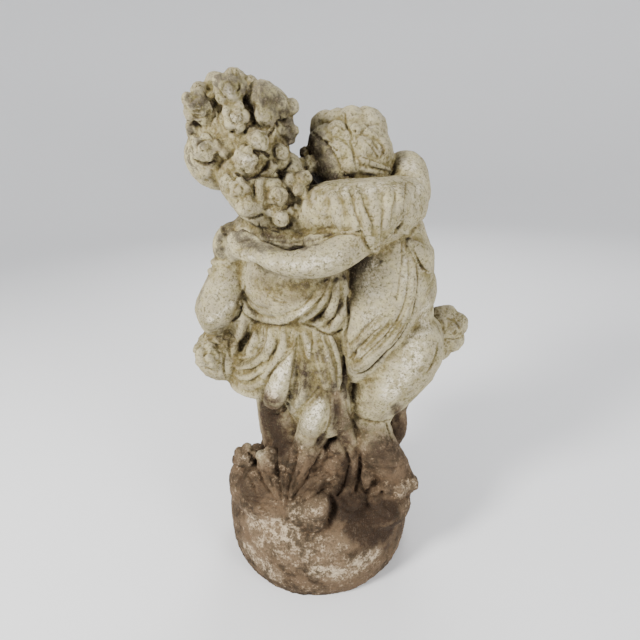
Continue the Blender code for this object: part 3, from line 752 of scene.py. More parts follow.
class Carver(Tool):
    """A chisel that pushes the skin in and out."""

    def __init__(self, mesh: bpy.types.Mesh) -> None:
        """Starts with nothing moved."""
        super().__init__(mesh)
        self.moved = np.zeros_like(self.spots)

    def stroke(self, cut: Cut, eye: Eye, marks: Marks, depth: float) -> None:
        """Works one line of the skin.

        Args:
            cut: The kind of stroke.
            eye: The eye that the marks are drawn from.
            marks: Rows of u, v and half width.
            depth: How deep or high it goes, in half widths.
        """
        trace = self.skin.trace(eye, marks)
        picked, shares, steps = self.reach(trace)
        if not len(picked):
            return
        ways = np.array([out for _, out, _ in trace])[steps]
        widths = np.array([radius for _, _, radius in trace])[steps]
        facing = np.clip(2.0 * (self.outs[picked] * ways).sum(1), 0.0, 1.0)
        if cut is Cut.GROOVE:
            lift = -((1.0 - shares) ** 2)
        elif cut is Cut.RIDGE:
            lift = (1.0 - shares**2) ** 2
        else:
            centres = np.array([spot for spot, _, _ in trace])
            along = np.gradient(centres, axis=0) if len(centres) > 1 else np.zeros_like(centres)
            left = np.cross(ways, along[steps])
            left /= np.linalg.norm(left, axis=1, keepdims=True) + 1e-9
            across = ((self.spots[picked] - centres[steps]) * left).sum(1) / widths
            fade = (1.0 - shares) ** 1.5
            lift = np.where(across > 0.0, 0.6, -1.0) * fade
        self.moved[picked] += ways * (lift * facing * depth * widths)[:, None]

    def weather(self, chance: random.Random, rough: tuple[tuple[Row, float, float], ...]) -> None:
        """Wears the whole skin: soft waste, grit and small pits.

        Args:
            chance: Where the random shift comes from.
            rough: Places that are worn more: centre, radius and how much more.
        """
        spots = self.spots + self.moved
        worse = np.clip((200.0 - spots[:, 2]) / 80.0, 0.0, 0.4)
        for centre, radius, share in rough:
            gap = np.linalg.norm(spots - np.array(centre), axis=1)
            worse = np.maximum(worse, share * np.clip(1.4 - gap / radius, 0.0, 1.0))
        lift = np.empty(len(spots))
        shift = Vector([chance.uniform(0, 50) for _ in range(3)])
        for i, spot in enumerate(spots):
            at = Vector(spot) + shift
            broad = noise.fractal(at / 42.0, 0.9, 2.0, 2)
            soft = noise.fractal(at / 13.0, 0.8, 2.1, 3)
            grit = noise.fractal(at / 5.0, 0.6, 2.2, 2)
            pit = max(0.0, noise.noise(at / 4.5) - 0.38)
            much = worse[i]
            lift[i] = broad * (0.3 + 1.6 * much) + soft * (0.35 + 1.5 * much)
            lift[i] += grit * (0.2 + 0.9 * much) - pit * (0.9 + 5.0 * much)
        self.moved += self.outs * lift[:, None]

    def finish(self) -> None:
        """Moves the vertices of the mesh to where the strokes pushed them."""
        self.mesh.vertices.foreach_set("co", (self.spots + self.moved).astype(np.float32).ravel())
        self.mesh.update()


class Layer(Enum):
    """Layers that the finish reads from the skin.

    Besides the stone's own marks, pale also holds painted highlights, soil and earth also hold
    painted shadow, and the finish paints shade from hollow and shelter.
    """

    # pale wear, and painted highlights where it is laid for light
    PALE = "pale"
    LICHEN = "lichen"
    OCHRE = "ochre"
    # soil, and painted shadow on the right of the mound, on the far leg and under the sleeve's hem
    SOIL_AND_SHADE = "soil_and_shade"
    # earth colour, and painted shadow on the far leg
    EARTH_AND_SHADE = "earth"
    # concave places; the finish darkens them with ochre, partly as painted shade
    HOLLOW = "hollow"
    WORN = "worn"
    # how much sky a place can't see; the finish paints shade and dark soil from it
    SHELTER = "shelter"


class Painter(Tool):
    """A brush that fills the layers of the skin with values from 0 to 1."""

    def __init__(self, mesh: bpy.types.Mesh) -> None:
        """Starts with empty layers."""
        super().__init__(mesh)
        self.layers = {layer: np.zeros(len(self.spots)) for layer in Layer}

    def dab(self, layer: Layer, eye: Eye, marks: Marks, strength: float) -> None:
        """Paints a soft patch along marks of u, v and half width."""
        trace = self.skin.trace(eye, marks)
        picked, shares, steps = self.reach(trace)
        if not len(picked):
            return
        ways = np.array([out for _, out, _ in trace])[steps]
        facing = np.clip(0.4 + (self.outs[picked] * ways).sum(1), 0.0, 1.0)
        value = strength * (1.0 - shares**2) * facing
        self.layers[layer][picked] = np.maximum(self.layers[layer][picked], value)

    def feel(self) -> None:
        """Fills the hollow and the worn layer from how the skin curves."""
        edges = np.empty(len(self.mesh.edges) * 2, np.int32)
        self.mesh.edges.foreach_get("vertices", edges)
        edges = edges.reshape(-1, 2)
        ends = np.concatenate((edges[:, 0], edges[:, 1]))
        others = np.concatenate((edges[:, 1], edges[:, 0]))
        degree = np.bincount(ends, minlength=len(self.spots)).clip(1)
        calm = self.spots.copy()
        depth = np.zeros(len(self.spots))
        full = {4: 0.5, 30: 2.0}  # after how many rounds of smoothing, and what counts as full then
        for i in range(1, max(full) + 1):
            mean = [np.bincount(ends, calm[others, k], len(calm)) / degree for k in range(3)]
            calm = 0.5 * calm + 0.5 * np.stack(mean, 1)
            if i in full:
                depth += ((calm - self.spots) * self.outs).sum(1) / full[i]
        self.layers[Layer.HOLLOW] = np.clip(depth, 0.0, 1.0)
        self.layers[Layer.WORN] = np.clip(-depth, 0.0, 1.0)

    def shade(self, chance: random.Random, rays: int = 9, reach: float = 70.0) -> None:
        """Fills the shelter layer with how much of the sky each place can't see."""
        ways = []
        while len(ways) < rays:
            way = Vector([chance.uniform(-1, 1) for _ in range(3)])
            if 0.1 < way.length < 1.0:
                ways.append((way.normalized() + Vector((0, 0, 0.35))).normalized())
        hidden = np.zeros(len(self.spots))
        for i, (spot, out) in enumerate(zip(self.spots, self.outs)):
            start, normal = Vector(spot), Vector(out)
            start += normal * 1.2
            seen = 0
            for way in ways:
                ray = (normal * 1.05 + way).normalized()
                if self.skin.tree.ray_cast(start, ray, reach)[0] is None:
                    seen += 1
            hidden[i] = 1.0 - seen / rays
        self.layers[Layer.SHELTER] = hidden

    def finish(self) -> None:
        """Writes the layers to the mesh as attributes of its vertices."""
        for layer, values in self.layers.items():
            made = self.mesh.attributes.new(layer.value, "FLOAT", "POINT")
            made.data.foreach_set("value", values.astype(np.float32))


@dataclass
class Detail:
    """Work on one part of the surface: lumps laid on it, then strokes carved in it.

    All marks are rows of u, v and half width in the grid of the eye. The row of a knob or a bloom
    ends with how far it stands out, in radii; a knob at or under low is a smooth ball. Grooves are
    cut shallow and gaps deep, ridges swell softly, and edges are raised on their left. A whorl is
    the u, v and half width of a spiral groove. Paints are a layer, a strength and marks. Knobs and
    blooms as wide as petalled, or wider, get the edges of worn petals.
    """

    eye: Eye = BACK_EYE
    knobs: Marks = ()
    blooms: Marks = ()
    folds: tuple[Marks, ...] = ()
    fold_flat: float = 1.0
    fold_stand: float = 0.9
    grooves: tuple[Marks, ...] = ()
    gaps: tuple[Marks, ...] = ()
    ridges: tuple[Marks, ...] = ()
    edges: tuple[Marks, ...] = ()
    whorls: Marks = ()
    paints: tuple = ()
    cut: float = 0.85
    gap_cut: float = 2.2
    petal_cut: float = 1.2
    ridge_rise: float = 0.5
    edge_rise: float = 0.6
    petalled: float = 6.5
    low: float = 0.1

    def raised(self, skin: Skin, mark: Row) -> tuple[Vector, float]:
        """The middle and the radius of a lump that stands on the skin at a mark."""
        u, v, half, stand = mark
        spot, out = skin.touch(self.eye, u, v)
        radius = self.eye.seen_size(spot, half)
        ray = self.eye.sight(u, v)
        return spot - ray * stand * radius / max(0.35, -out.dot(ray)), radius

    def lay(self, clay: Clay, skin: Skin) -> None:
        """Lays the knobs, blooms and folds on the masses."""
        for mark in self.knobs:
            centre, radius = self.raised(skin, mark)
            if mark[3] > self.low:
                clay.lump(centre, radius, random.Random(int(100 * mark[0] + mark[1])))
            else:
                clay.sphere(Matrix.Translation(centre) @ Matrix.Scale(radius, 4), 2)
        for mark in self.blooms:
            centre, radius = self.raised(skin, mark)
            clay.rose(centre, -self.eye.sight(*mark[:2]), radius)
        for marks in self.folds:
            clay.fold(skin.trace(self.eye, marks), self.fold_flat, self.fold_stand)

    def carve(self, carver: Carver) -> None:
        """Carves all the strokes."""
        for marks in self.grooves:
            carver.stroke(Cut.GROOVE, self.eye, marks, self.cut)
        for marks in self.gaps:
            carver.stroke(Cut.GROOVE, self.eye, marks, self.gap_cut)
        for marks in self.ridges:
            carver.stroke(Cut.RIDGE, self.eye, marks, self.ridge_rise)
        for marks in self.edges:
            carver.stroke(Cut.EDGE, self.eye, marks, self.edge_rise)
        for whorl in self.whorls:
            carver.stroke(Cut.GROOVE, self.eye, spiral(*whorl), self.cut * 1.2)
        for u, v, half, stand in (*self.knobs, *self.blooms):
            if half >= self.petalled and stand > self.low:
                chance = random.Random(int(100 * u + v))
                for _ in range(5):
                    petal = petal_edge(u, v, half, chance)
                    carver.stroke(Cut.GROOVE, self.eye, petal, self.petal_cut)

    def paint(self, painter: Painter) -> None:
        """Paints all the patches."""
        for layer, strength, marks in self.paints:
            painter.dab(layer, self.eye, marks, strength)


@dataclass
class SkirtedHair(Detail):
    """The big round weathered curls and flowers all over the skirted child's head."""

    knobs: Marks = (
        (237, 71, 8, 0.2), (197, 88, 9, 0.1), (192, 128, 6, 0.3), (262, 97, 15, 0.05),
        (266, 114, 12, 0.1), (291, 107, 8, 0.1), (259, 141, 10, 0.6), (230, 92, 15, 0.1),
        (281, 152, 8, 0.4), (272, 166, 6, 0.4), (301, 153, 6, 0.2), (213, 77, 9, 0.0),
        (250, 84, 8, 0.0), (253, 132, 5, 0.4), (225, 152, 6, 0.0), (244, 150, 5, 0.3),
        (216, 146, 6, 0.3), (222, 80, 8, 0.1), (278, 104, 9, 0.0), (276, 130, 8, 0.0),
        (249, 104, 11, -0.55),
    )
    blooms: Marks = (
        (230, 88, 16, 0.55), (198, 106, 15, 0.5), (236, 117, 13, 0.4), (246, 160, 12, 0.8),
        (205, 148, 12, 0.6), (287, 131, 12, 0.4),
    )
    grooves: tuple[Marks, ...] = (
        ((245, 84, 2), (247, 92, 3), (243, 101, 2)),
        ((212, 100, 3), (214, 112, 3), (210, 124, 3)),
        ((222, 106, 3), (218, 118, 3), (222, 130, 3)),
        ((251, 106, 2), (254, 118, 2), (252, 128, 2)),
        ((190, 118, 2), (198, 122, 3), (206, 120, 2)),
        ((275, 118, 2), (278, 126, 3), (276, 140, 3)),
        ((205, 92, 2), (210, 98, 3), (216, 94, 2)),
    )
    gaps: tuple[Marks, ...] = (
        ((194, 160, 2), (204, 164, 3), (214, 160, 2)),
        ((236, 173, 2), (247, 177, 4), (260, 172, 3), (266, 164, 2)),
        ((262, 151, 2), (268, 156, 3)),
        ((275, 173, 2), (284, 168, 3), (290, 160, 2)),
        ((232, 131, 2.5),),
        ((246, 131, 2.5),),
        ((223, 168, 1.5),),
    )
    ridges: tuple[Marks, ...] = (((260, 86, 3), (261, 97, 4), (262, 110, 3)),)
    edges: tuple[Marks, ...] = (
        ((262, 132, 3), (268, 133, 4), (272, 128, 5), (276, 121, 5), (281, 114, 4)),
        ((256, 118, 3), (260, 126, 3), (266, 132, 3)),
    )
    whorls: Marks = ((237, 117, 9), (198, 106, 8))
    paints: tuple = (
        (Layer.LICHEN, 0.95, ((198, 104, 18),)),
        (Layer.LICHEN, 0.75, ((222, 80, 16), (236, 82, 18), (250, 88, 14))),
        (Layer.LICHEN, 0.65, ((205, 147, 14),)),
        (Layer.LICHEN, 0.7, ((192, 128, 10), (186, 142, 10), (192, 162, 12))),
        (Layer.LICHEN, 0.95, ((262, 95, 18), (280, 112, 18), (290, 132, 14), (294, 148, 10))),
        (Layer.LICHEN, 0.3, ((188, 140, 10), (196, 168, 12), (214, 182, 10))),
        (Layer.PALE, 0.6, ((246, 161, 11),)),
        (Layer.PALE, 0.55, ((235, 118, 10),)),
        (Layer.PALE, 0.35, ((230, 94, 9),)),
        (Layer.PALE, 0.4, ((258, 141, 7),)),
        (Layer.OCHRE, 0.9, ((216, 128, 12), (222, 142, 12), (232, 148, 9))),
        (Layer.OCHRE, 0.7, ((214, 100, 6), (219, 112, 7))),
        (Layer.OCHRE, 0.7, ((250, 132, 8), (246, 146, 7))),
        (Layer.OCHRE, 0.6, ((224, 165, 12), (268, 168, 9))),
    )


@dataclass
class NapeCurls(Detail):
    """The bunches of curls that hang over the skirted child's nape and neck."""

    fold_stand: float = 0.5
    knobs: Marks = (
        (247, 207, 11, 0.35), (281, 219, 9, 0.35),
        (311, 168, 6, 0.3), (303, 179, 9, 0.25), (299, 190, 8, 0.3), (290, 180, 8, 0.0),
        (289, 211, 5, 0.2), (270, 212, 5, 0.2), (258, 208, 6, 0.1), (228, 181, 7, 0.0),
        (295, 206, 3, 0.4), (277, 197, 12, 0.2),
    )
    blooms: Marks = ((239, 189, 11, 0.5), (304, 165, 9, 0.5))
    folds: tuple[Marks, ...] = (
        ((273, 178, 9), (276, 190, 12), (279, 202, 12), (281, 214, 9)),
        ((259, 182, 6), (260, 192, 7), (261, 200, 6)),
        ((304, 194, 5), (305, 203, 4), (303, 211, 3)),
    )
    grooves: tuple[Marks, ...] = (
        ((264, 209, 1.5), (270, 206, 2.5), (276, 206, 2.5), (279, 210, 2.5), (289, 206, 1.5)),
        ((253, 178, 2), (253, 190, 3), (253, 202, 2)),
        ((265, 182, 2), (265, 192, 2.5), (266, 203, 2)),
        ((229, 181, 2), (246, 179, 2), (252, 188, 2)),
        ((291, 187, 2), (292, 198, 3), (293, 210, 2)),
        ((288, 170, 2), (294, 172, 3), (296, 182, 2)),
    )
    gaps: tuple[Marks, ...] = (
        ((262, 175, 2), (272, 175, 3), (284, 176, 2)),
        ((240, 216, 2), (250, 219, 2.5), (262, 215, 2)),
        ((274, 228, 2), (282, 230, 2.5), (290, 224, 2)),
    )
    paints: tuple = (
        (Layer.OCHRE, 0.6, ((240, 196, 14), (262, 196, 14), (284, 196, 12))),
        (Layer.OCHRE, 0.5, ((300, 176, 12), (300, 192, 12))),
        (Layer.LICHEN, 0.35, ((280, 198, 8), (304, 168, 6))),
        (Layer.PALE, 0.25, ((281, 218, 6),)),
    )


@dataclass
class DrapedHair(Detail):
    """The short locks of the draped child: lobes on the crown and long locks to the nape."""

    fold_flat: float = 0.9
    fold_stand: float = 0.6
    cut: float = 1.2
    petalled: float = 99.0
    knobs: Marks = (
        (326, 128, 17, -0.6), (327, 145, 20, -0.75), (337, 131, 10, -0.4), (355, 131, 7, -0.3),
        (365, 131, 23, -0.82), (362, 148, 12, -0.6), (338, 124, 15, -0.6), (351, 122, 15, -0.65),
        (350, 166, 10, -0.4), (380, 148, 11, -0.45),
    )
    folds: tuple[Marks, ...] = (
        ((362, 127, 4), (372, 135, 5), (384, 146, 6), (388, 157, 4)),
        ((363, 160, 4), (376, 165, 5), (388, 170, 4)),
        ((362, 169, 4), (376, 172, 4), (390, 175, 3)),
        ((366, 146, 4), (375, 152, 5), (384, 160, 4)),
    )
    grooves: tuple[Marks, ...] = (
        ((345, 114, 2), (346, 124, 3), (350, 132, 3), (352, 139, 2)),
        ((350, 141, 2), (354, 154, 3), (357, 170, 2)),
        ((372, 136, 2), (380, 142, 3), (384, 150, 3), (381, 158, 2)),
        ((366, 140, 1.5), (373, 148, 2.5), (378, 158, 2)),
        ((363, 157, 1.5), (376, 161, 2), (388, 166, 1.5)),
        ((363, 165, 1.5), (376, 169, 2), (389, 172, 1.5)),
        ((362, 132, 2), (369, 124, 3), (380, 124, 2)),
        ((330, 128, 2), (338, 125, 2), (344, 130, 2)),
        ((332, 136, 1.5), (340, 138, 2), (347, 144, 2)),
    )
    gaps: tuple[Marks, ...] = (
        ((355, 131, 2.5),),
        ((325, 140, 1.5), (328, 142, 2)),
        ((333, 147, 1.5), (336, 150, 2)),
        ((346, 176, 2), (352, 178, 2)),
    )
    edges: tuple[Marks, ...] = (
        (
            (313, 132, 2), (319, 136, 4), (326, 141, 4), (333, 150, 5), (338, 159, 4), (342, 168, 4),
            (347, 176, 3),
        ),
    )
    paints: tuple = (
        (Layer.LICHEN, 1.0, ((314, 138, 12), (319, 152, 16), (326, 166, 14), (334, 176, 8))),
        (Layer.LICHEN, 0.3, ((326, 124, 10),)),
        (Layer.OCHRE, 0.6, ((342, 164, 10), (348, 172, 8))),
        (Layer.OCHRE, 0.4, ((384, 156, 6),)),
        (Layer.PALE, 0.3, ((368, 122, 16), (386, 134, 12))),
    )


@dataclass
class Sleeve(Detail):
    """The puffed sleeve with its fanned folds and hem, and the bare arm that comes out under it."""

    fold_stand: float = 0.55
    cut: float = 1.1
    folds: tuple[Marks, ...] = (
        ((332, 194, 5), (336, 208, 7), (339, 222, 7), (341, 229, 4)),
        ((346, 190, 5), (352, 205, 6), (355, 219, 6), (355, 228, 4)),
        ((357, 191, 5), (362, 206, 6), (368, 222, 7), (371, 240, 6), (372, 246, 3)),
        ((371, 189, 6), (375, 205, 7), (378, 224, 6), (378, 239, 4)),
        ((388, 189, 6), (388, 205, 7), (386, 224, 7)),
        ((399, 186, 4), (399, 200, 5), (397, 213, 4)),
        ((264, 237, 5), (282, 242, 8), (302, 242, 8), (322, 238, 6), (338, 232, 4)),
    )
    grooves: tuple[Marks, ...] = (
        ((348, 186, 1.5), (352, 197, 2.5), (355, 210, 3), (361, 226, 2)),
        ((361, 192, 1.5), (366, 207, 3), (372, 222, 3), (373, 236, 2)),
        ((382, 197, 1.5), (382.6, 213, 2), (381.4, 227, 2), (381, 243, 1.5)),
        ((395, 196, 1.5), (393, 210, 3), (391, 222, 2)),
        ((331, 222, 1.5), (331, 231, 1.5)),
        ((341, 216, 1.5), (343, 230, 1.5)),
        ((268, 241, 1.5), (285, 243, 2), (301, 242, 2), (318, 239, 2), (330, 235, 2)),
        ((294, 236, 1.5), (312, 233, 2.5), (331, 228, 1.5)),
        ((258, 239, 1.2), (247, 240, 1.8), (238, 243, 1.2)),
        ((258, 246, 1.2), (246, 248, 1.8), (236, 250, 1.2)),
        ((256, 253, 1.2), (245, 256, 1.8), (236, 256, 1.2)),
    )
    gaps: tuple[Marks, ...] = (
        ((395, 234, 2), (399, 228, 3), (404, 221, 2)),
        ((258, 222, 1.5), (262, 230, 2), (266, 240, 1.5)),
    )
    edges: tuple[Marks, ...] = (
        (
            (329, 232, 2), (342, 233, 4), (353, 232, 4), (362, 230, 4), (366, 240, 4), (371, 249, 4),
            (381, 244, 4), (391, 235, 4), (397, 224, 3),
        ),
        ((402, 217, 3), (403, 200, 4), (405, 184, 3)),
    )
    paints: tuple = (
        (Layer.PALE, 0.45, ((340, 190, 9), (366, 188, 9), (392, 186, 8))),
        # pale wear along the near arm, and a painted highlight down its lit middle
        (Layer.PALE, 0.7, ((284, 266, 7), (306, 264, 9), (328, 260, 10), (338, 254, 8))),
        (Layer.PALE, 0.6, ((242, 256, 4), (256, 260, 5), (272, 264, 5))),
        (Layer.LICHEN, 1.0, ((236, 231, 11), (243, 240, 12), (256, 246, 10))),
        (Layer.LICHEN, 0.95, ((258, 248, 7), (282, 250, 8), (304, 248, 8), (322, 243, 6))),
        (Layer.PALE, 0.4, ((408, 160, 12), (418, 180, 12), (416, 200, 10))),
        # ochre and soil under the sleeve's hem, partly stain and partly painted shade under the hem
        (Layer.OCHRE, 0.9, ((270, 228, 12), (290, 230, 12), (310, 231, 11), (328, 230, 8))),
        (Layer.SOIL_AND_SHADE, 0.5, ((264, 234, 7), (284, 241, 8), (308, 240, 7), (330, 235, 5))),
    )


@dataclass
class Bodice(Detail):
    """The bodice bagged over the belt, the folds that hang beside it and the shoulder's crimps."""

    fold_stand: float = 0.8
    knobs: Marks = ((223, 237, 4, 0.2), (219, 250, 4, 0.2), (214, 262, 4, 0.2), (211, 271, 4, 0.2))
    folds: tuple[Marks, ...] = (
        (
            (243, 300, 3), (250, 312, 4), (268, 318, 5), (284, 319, 5), (300, 312, 5), (315, 299, 4),
            (324, 284, 3),
        ),
        ((329, 281, 3), (323, 299, 4), (314, 311, 5), (302, 320, 4)),
        ((336, 282, 4), (334, 299, 6), (327, 315, 7), (316, 324, 5)),
        ((344, 280, 4), (345, 299, 6), (341, 314, 6), (333, 327, 5)),
        ((222, 228, 3), (219, 242, 4), (221, 255, 4)),
        ((214, 263, 3), (222, 262, 3), (230, 263, 3)),
    )
    grooves: tuple[Marks, ...] = (
        ((332, 284, 1.5), (329, 300, 3), (321, 313, 3), (306, 322, 2)),
        ((340, 284, 1.5), (340, 300, 3), (335, 315, 3), (324, 327, 2)),
        ((264, 288, 1.5), (272, 294, 2), (282, 299, 1.5)),
        ((268, 296, 1.5), (280, 302, 2), (292, 303, 1.5)),
        ((317, 284, 1.5), (312, 296, 2.5), (300, 308, 2), (286, 313, 1.5)),
        ((248, 298, 1.5), (256, 306, 2), (268, 309, 1.5)),
    )
    gaps: tuple[Marks, ...] = (
        ((348, 296, 2), (348.5, 310, 3), (347, 324, 3), (344, 334, 3)),
        ((245, 286, 2), (243, 293, 2)),
        ((232, 322, 2), (238, 315, 3), (242, 304, 2)),
        ((301, 323, 1.5), (313, 327, 2), (323, 332, 2), (334, 334, 2), (342, 329, 1.5)),
    )
    edges: tuple[Marks, ...] = (
        (
            (239, 302, 3), (243, 311, 4), (254, 319, 4), (269, 323, 5), (284, 323, 5), (298, 317, 4),
            (310, 307, 4), (321, 296, 4), (327, 282, 3),
        ),
    )
    paints: tuple = (
        (Layer.PALE, 0.8, ((308, 307, 4), (298, 315, 3))),
        (Layer.PALE, 0.75, ((210, 320, 5), (221, 314, 6), (232, 305, 5))),
        (Layer.PALE, 0.4, ((208, 290, 10), (222, 290, 8))),
        (Layer.OCHRE, 0.5, ((268, 300, 14), (286, 300, 14))),
        (Layer.OCHRE, 0.5, ((228, 268, 10), (240, 272, 8))),
        (Layer.LICHEN, 0.75, ((228, 228, 8), (221, 240, 9), (215, 256, 9))),
        (Layer.LICHEN, 0.6, ((208, 276, 6), (202, 290, 6), (196, 306, 6), (192, 322, 6))),
        (Layer.LICHEN, 0.4, ((214, 330, 8), (228, 326, 8))),
        (Layer.OCHRE, 0.9, ((258, 286, 12), (282, 290, 14), (306, 290, 13), (328, 288, 12))),
        (Layer.LICHEN, 0.45, ((246, 276, 8), (262, 282, 9), (284, 287, 8), (310, 287, 8))),
        (Layer.LICHEN, 0.4, ((248, 300, 8), (262, 310, 10), (280, 314, 10))),
    )


@dataclass
class Skirt(Detail):
    """The fan of folds below the belt, the thick lap fold with its round end, and the pouch."""

    fold_stand: float = 0.75
    cut: float = 1.25
    blooms: Marks = ((209, 356, 13, 0.3),)
    folds: tuple[Marks, ...] = (
        ((304, 334, 3), (308, 346, 5), (309, 357, 3)),
        ((321, 338, 3), (326, 355, 5), (330, 371, 5), (334, 389, 4)),
        ((330, 336, 3), (335, 352, 5), (339, 371, 4)),
        ((314, 334, 3), (317, 350, 4), (321, 368, 5), (326, 386, 5)),
        ((301, 350, 3), (305, 372, 6), (303, 392, 6), (297, 405, 4)),
        ((283, 332, 3), (283, 348, 5), (277, 362, 6), (264, 376, 4)),
        ((270, 330, 3), (270, 346, 6), (263, 357, 5), (251, 365, 3)),
        ((256, 326, 3), (255, 340, 6), (249, 351, 5)),
        ((243, 322, 3), (239, 336, 5), (234, 350, 4)),
        ((262, 357, 2), (255, 364, 4), (243, 368, 4), (236, 366, 2)),
        ((266, 366, 2), (256, 375, 4), (244, 378, 4), (236, 374, 2)),
        ((262, 382, 3), (250, 387, 4), (240, 384, 3)),
    )
    lap: Marks = ((297, 335, 3), (294, 352, 6), (285, 371, 11), (277, 389, 13), (273, 401, 11))
    grooves: tuple[Marks, ...] = (
        ((297.5, 337, 2), (296, 352, 3), (294, 368, 3), (291, 384, 3), (288, 400, 3), (283, 411, 2)),
        ((295, 345, 1.5), (288, 355, 2), (277, 366, 3), (268, 378, 3), (263, 392, 3), (262, 404, 2)),
        ((290, 332, 1.5), (289, 346, 2)),
        ((277, 332, 1.5), (276, 347, 3), (268, 361, 2)),
        ((263, 328, 1.5), (262, 342, 3), (256, 354, 2)),
        ((249, 324, 1.5), (247, 338, 3), (241, 350, 2)),
        ((260, 352, 1.5), (250, 359, 3), (240, 360, 3)),
        ((263, 362, 1.5), (252, 370, 3), (240, 371, 2)),
        ((264, 372, 1.5), (252, 381, 3), (242, 381, 2)),
        ((299, 334, 1.2), (303, 347, 1.6), (304, 356, 1.2)),
        ((311, 332, 1.5), (312, 344, 2), (311, 357, 1.5)),
        ((320, 336, 1.5), (324, 350, 2), (328, 366, 2), (332, 384, 1.5)),
        ((327, 336, 1.5), (332, 350, 2), (336, 366, 2), (337, 380, 1.5)),
        ((315, 350, 1.5), (320, 366, 2), (324, 380, 1.5)),
        ((320, 386, 1.5), (311, 397, 2), (303, 406, 1.5)),
        ((284, 360, 1.2), (276, 374, 1.6), (270, 388, 1.2)),
        ((289, 362, 1.2), (284, 376, 1.6), (280, 388, 1.2)),
        ((296, 371, 1.5), (300, 384, 2.5), (297, 398, 1.5)),
        ((225, 354, 2), (223, 366, 3), (226, 378, 2)),
        ((231, 334, 1.5), (229, 346, 2.5), (231, 356, 2)),
    )
    gaps: tuple[Marks, ...] = (
        ((343, 357, 3), (344, 368, 3.5), (344, 380, 3.5), (341, 392, 2.5)),
        ((240, 360, 2),),
        ((220, 363, 1.6),),
        ((216, 344, 1.6),),
        ((313, 376, 1.6),),
        ((319, 380, 1.8),),
        ((324, 372, 1.6),),
    )
    edges: tuple[Marks, ...] = (((264, 408, 3), (271, 413, 4), (280, 413, 4), (287, 406, 3)),)
    paints: tuple = (
        (Layer.PALE, 1.0, ((289, 356, 3), (284, 367, 7), (277, 380, 10), (273, 394, 9))),
        (Layer.PALE, 0.6, ((309, 345, 3), (309, 357, 3))),
        (Layer.PALE, 0.35, ((326, 350, 4), (331, 370, 4))),
        (Layer.PALE, 0.3, ((256, 338, 8), (270, 344, 8))),
        (Layer.LICHEN, 0.6, ((314, 370, 7), (323, 376, 8), (320, 386, 6))),
        (Layer.LICHEN, 0.3, ((205, 360, 12), (216, 368, 10))),
        (Layer.OCHRE, 0.35, ((262, 350, 16), (250, 366, 14))),
        (Layer.OCHRE, 1.0, ((346, 338, 4), (345, 350, 5), (347, 362, 4))),
        (Layer.SOIL_AND_SHADE, 0.9, ((344, 364, 5), (344, 380, 6), (346, 396, 5))),
        (Layer.SOIL_AND_SHADE, 0.45, ((300, 400, 8), (312, 396, 8))),
        (Layer.OCHRE, 1.0, ((294, 344, 12), (302, 362, 16), (312, 382, 16), (326, 394, 12))),
        (Layer.OCHRE, 0.9, ((318, 344, 8), (324, 360, 10), (328, 378, 10))),
        (Layer.LICHEN, 0.4, ((322, 352, 8), (328, 368, 8), (334, 386, 8))),
        (Layer.LICHEN, 0.6, ((294, 366, 8), (300, 384, 10), (292, 398, 10), (318, 352, 8))),
        (Layer.SOIL_AND_SHADE, 0.6, ((302, 366, 10), (308, 384, 12), (322, 396, 10), (334, 386, 8))),
        (Layer.OCHRE, 0.6, ((228, 346, 12), (240, 362, 14), (236, 380, 12), (252, 388, 12))),
    )

    def lay(self, clay: Clay, skin: Skin) -> None:
        """Lays the folds, then the flatter lap fold over them."""
        super().lay(clay, skin)
        clay.fold(skin.trace(self.eye, self.lap), 0.8, 0.6)


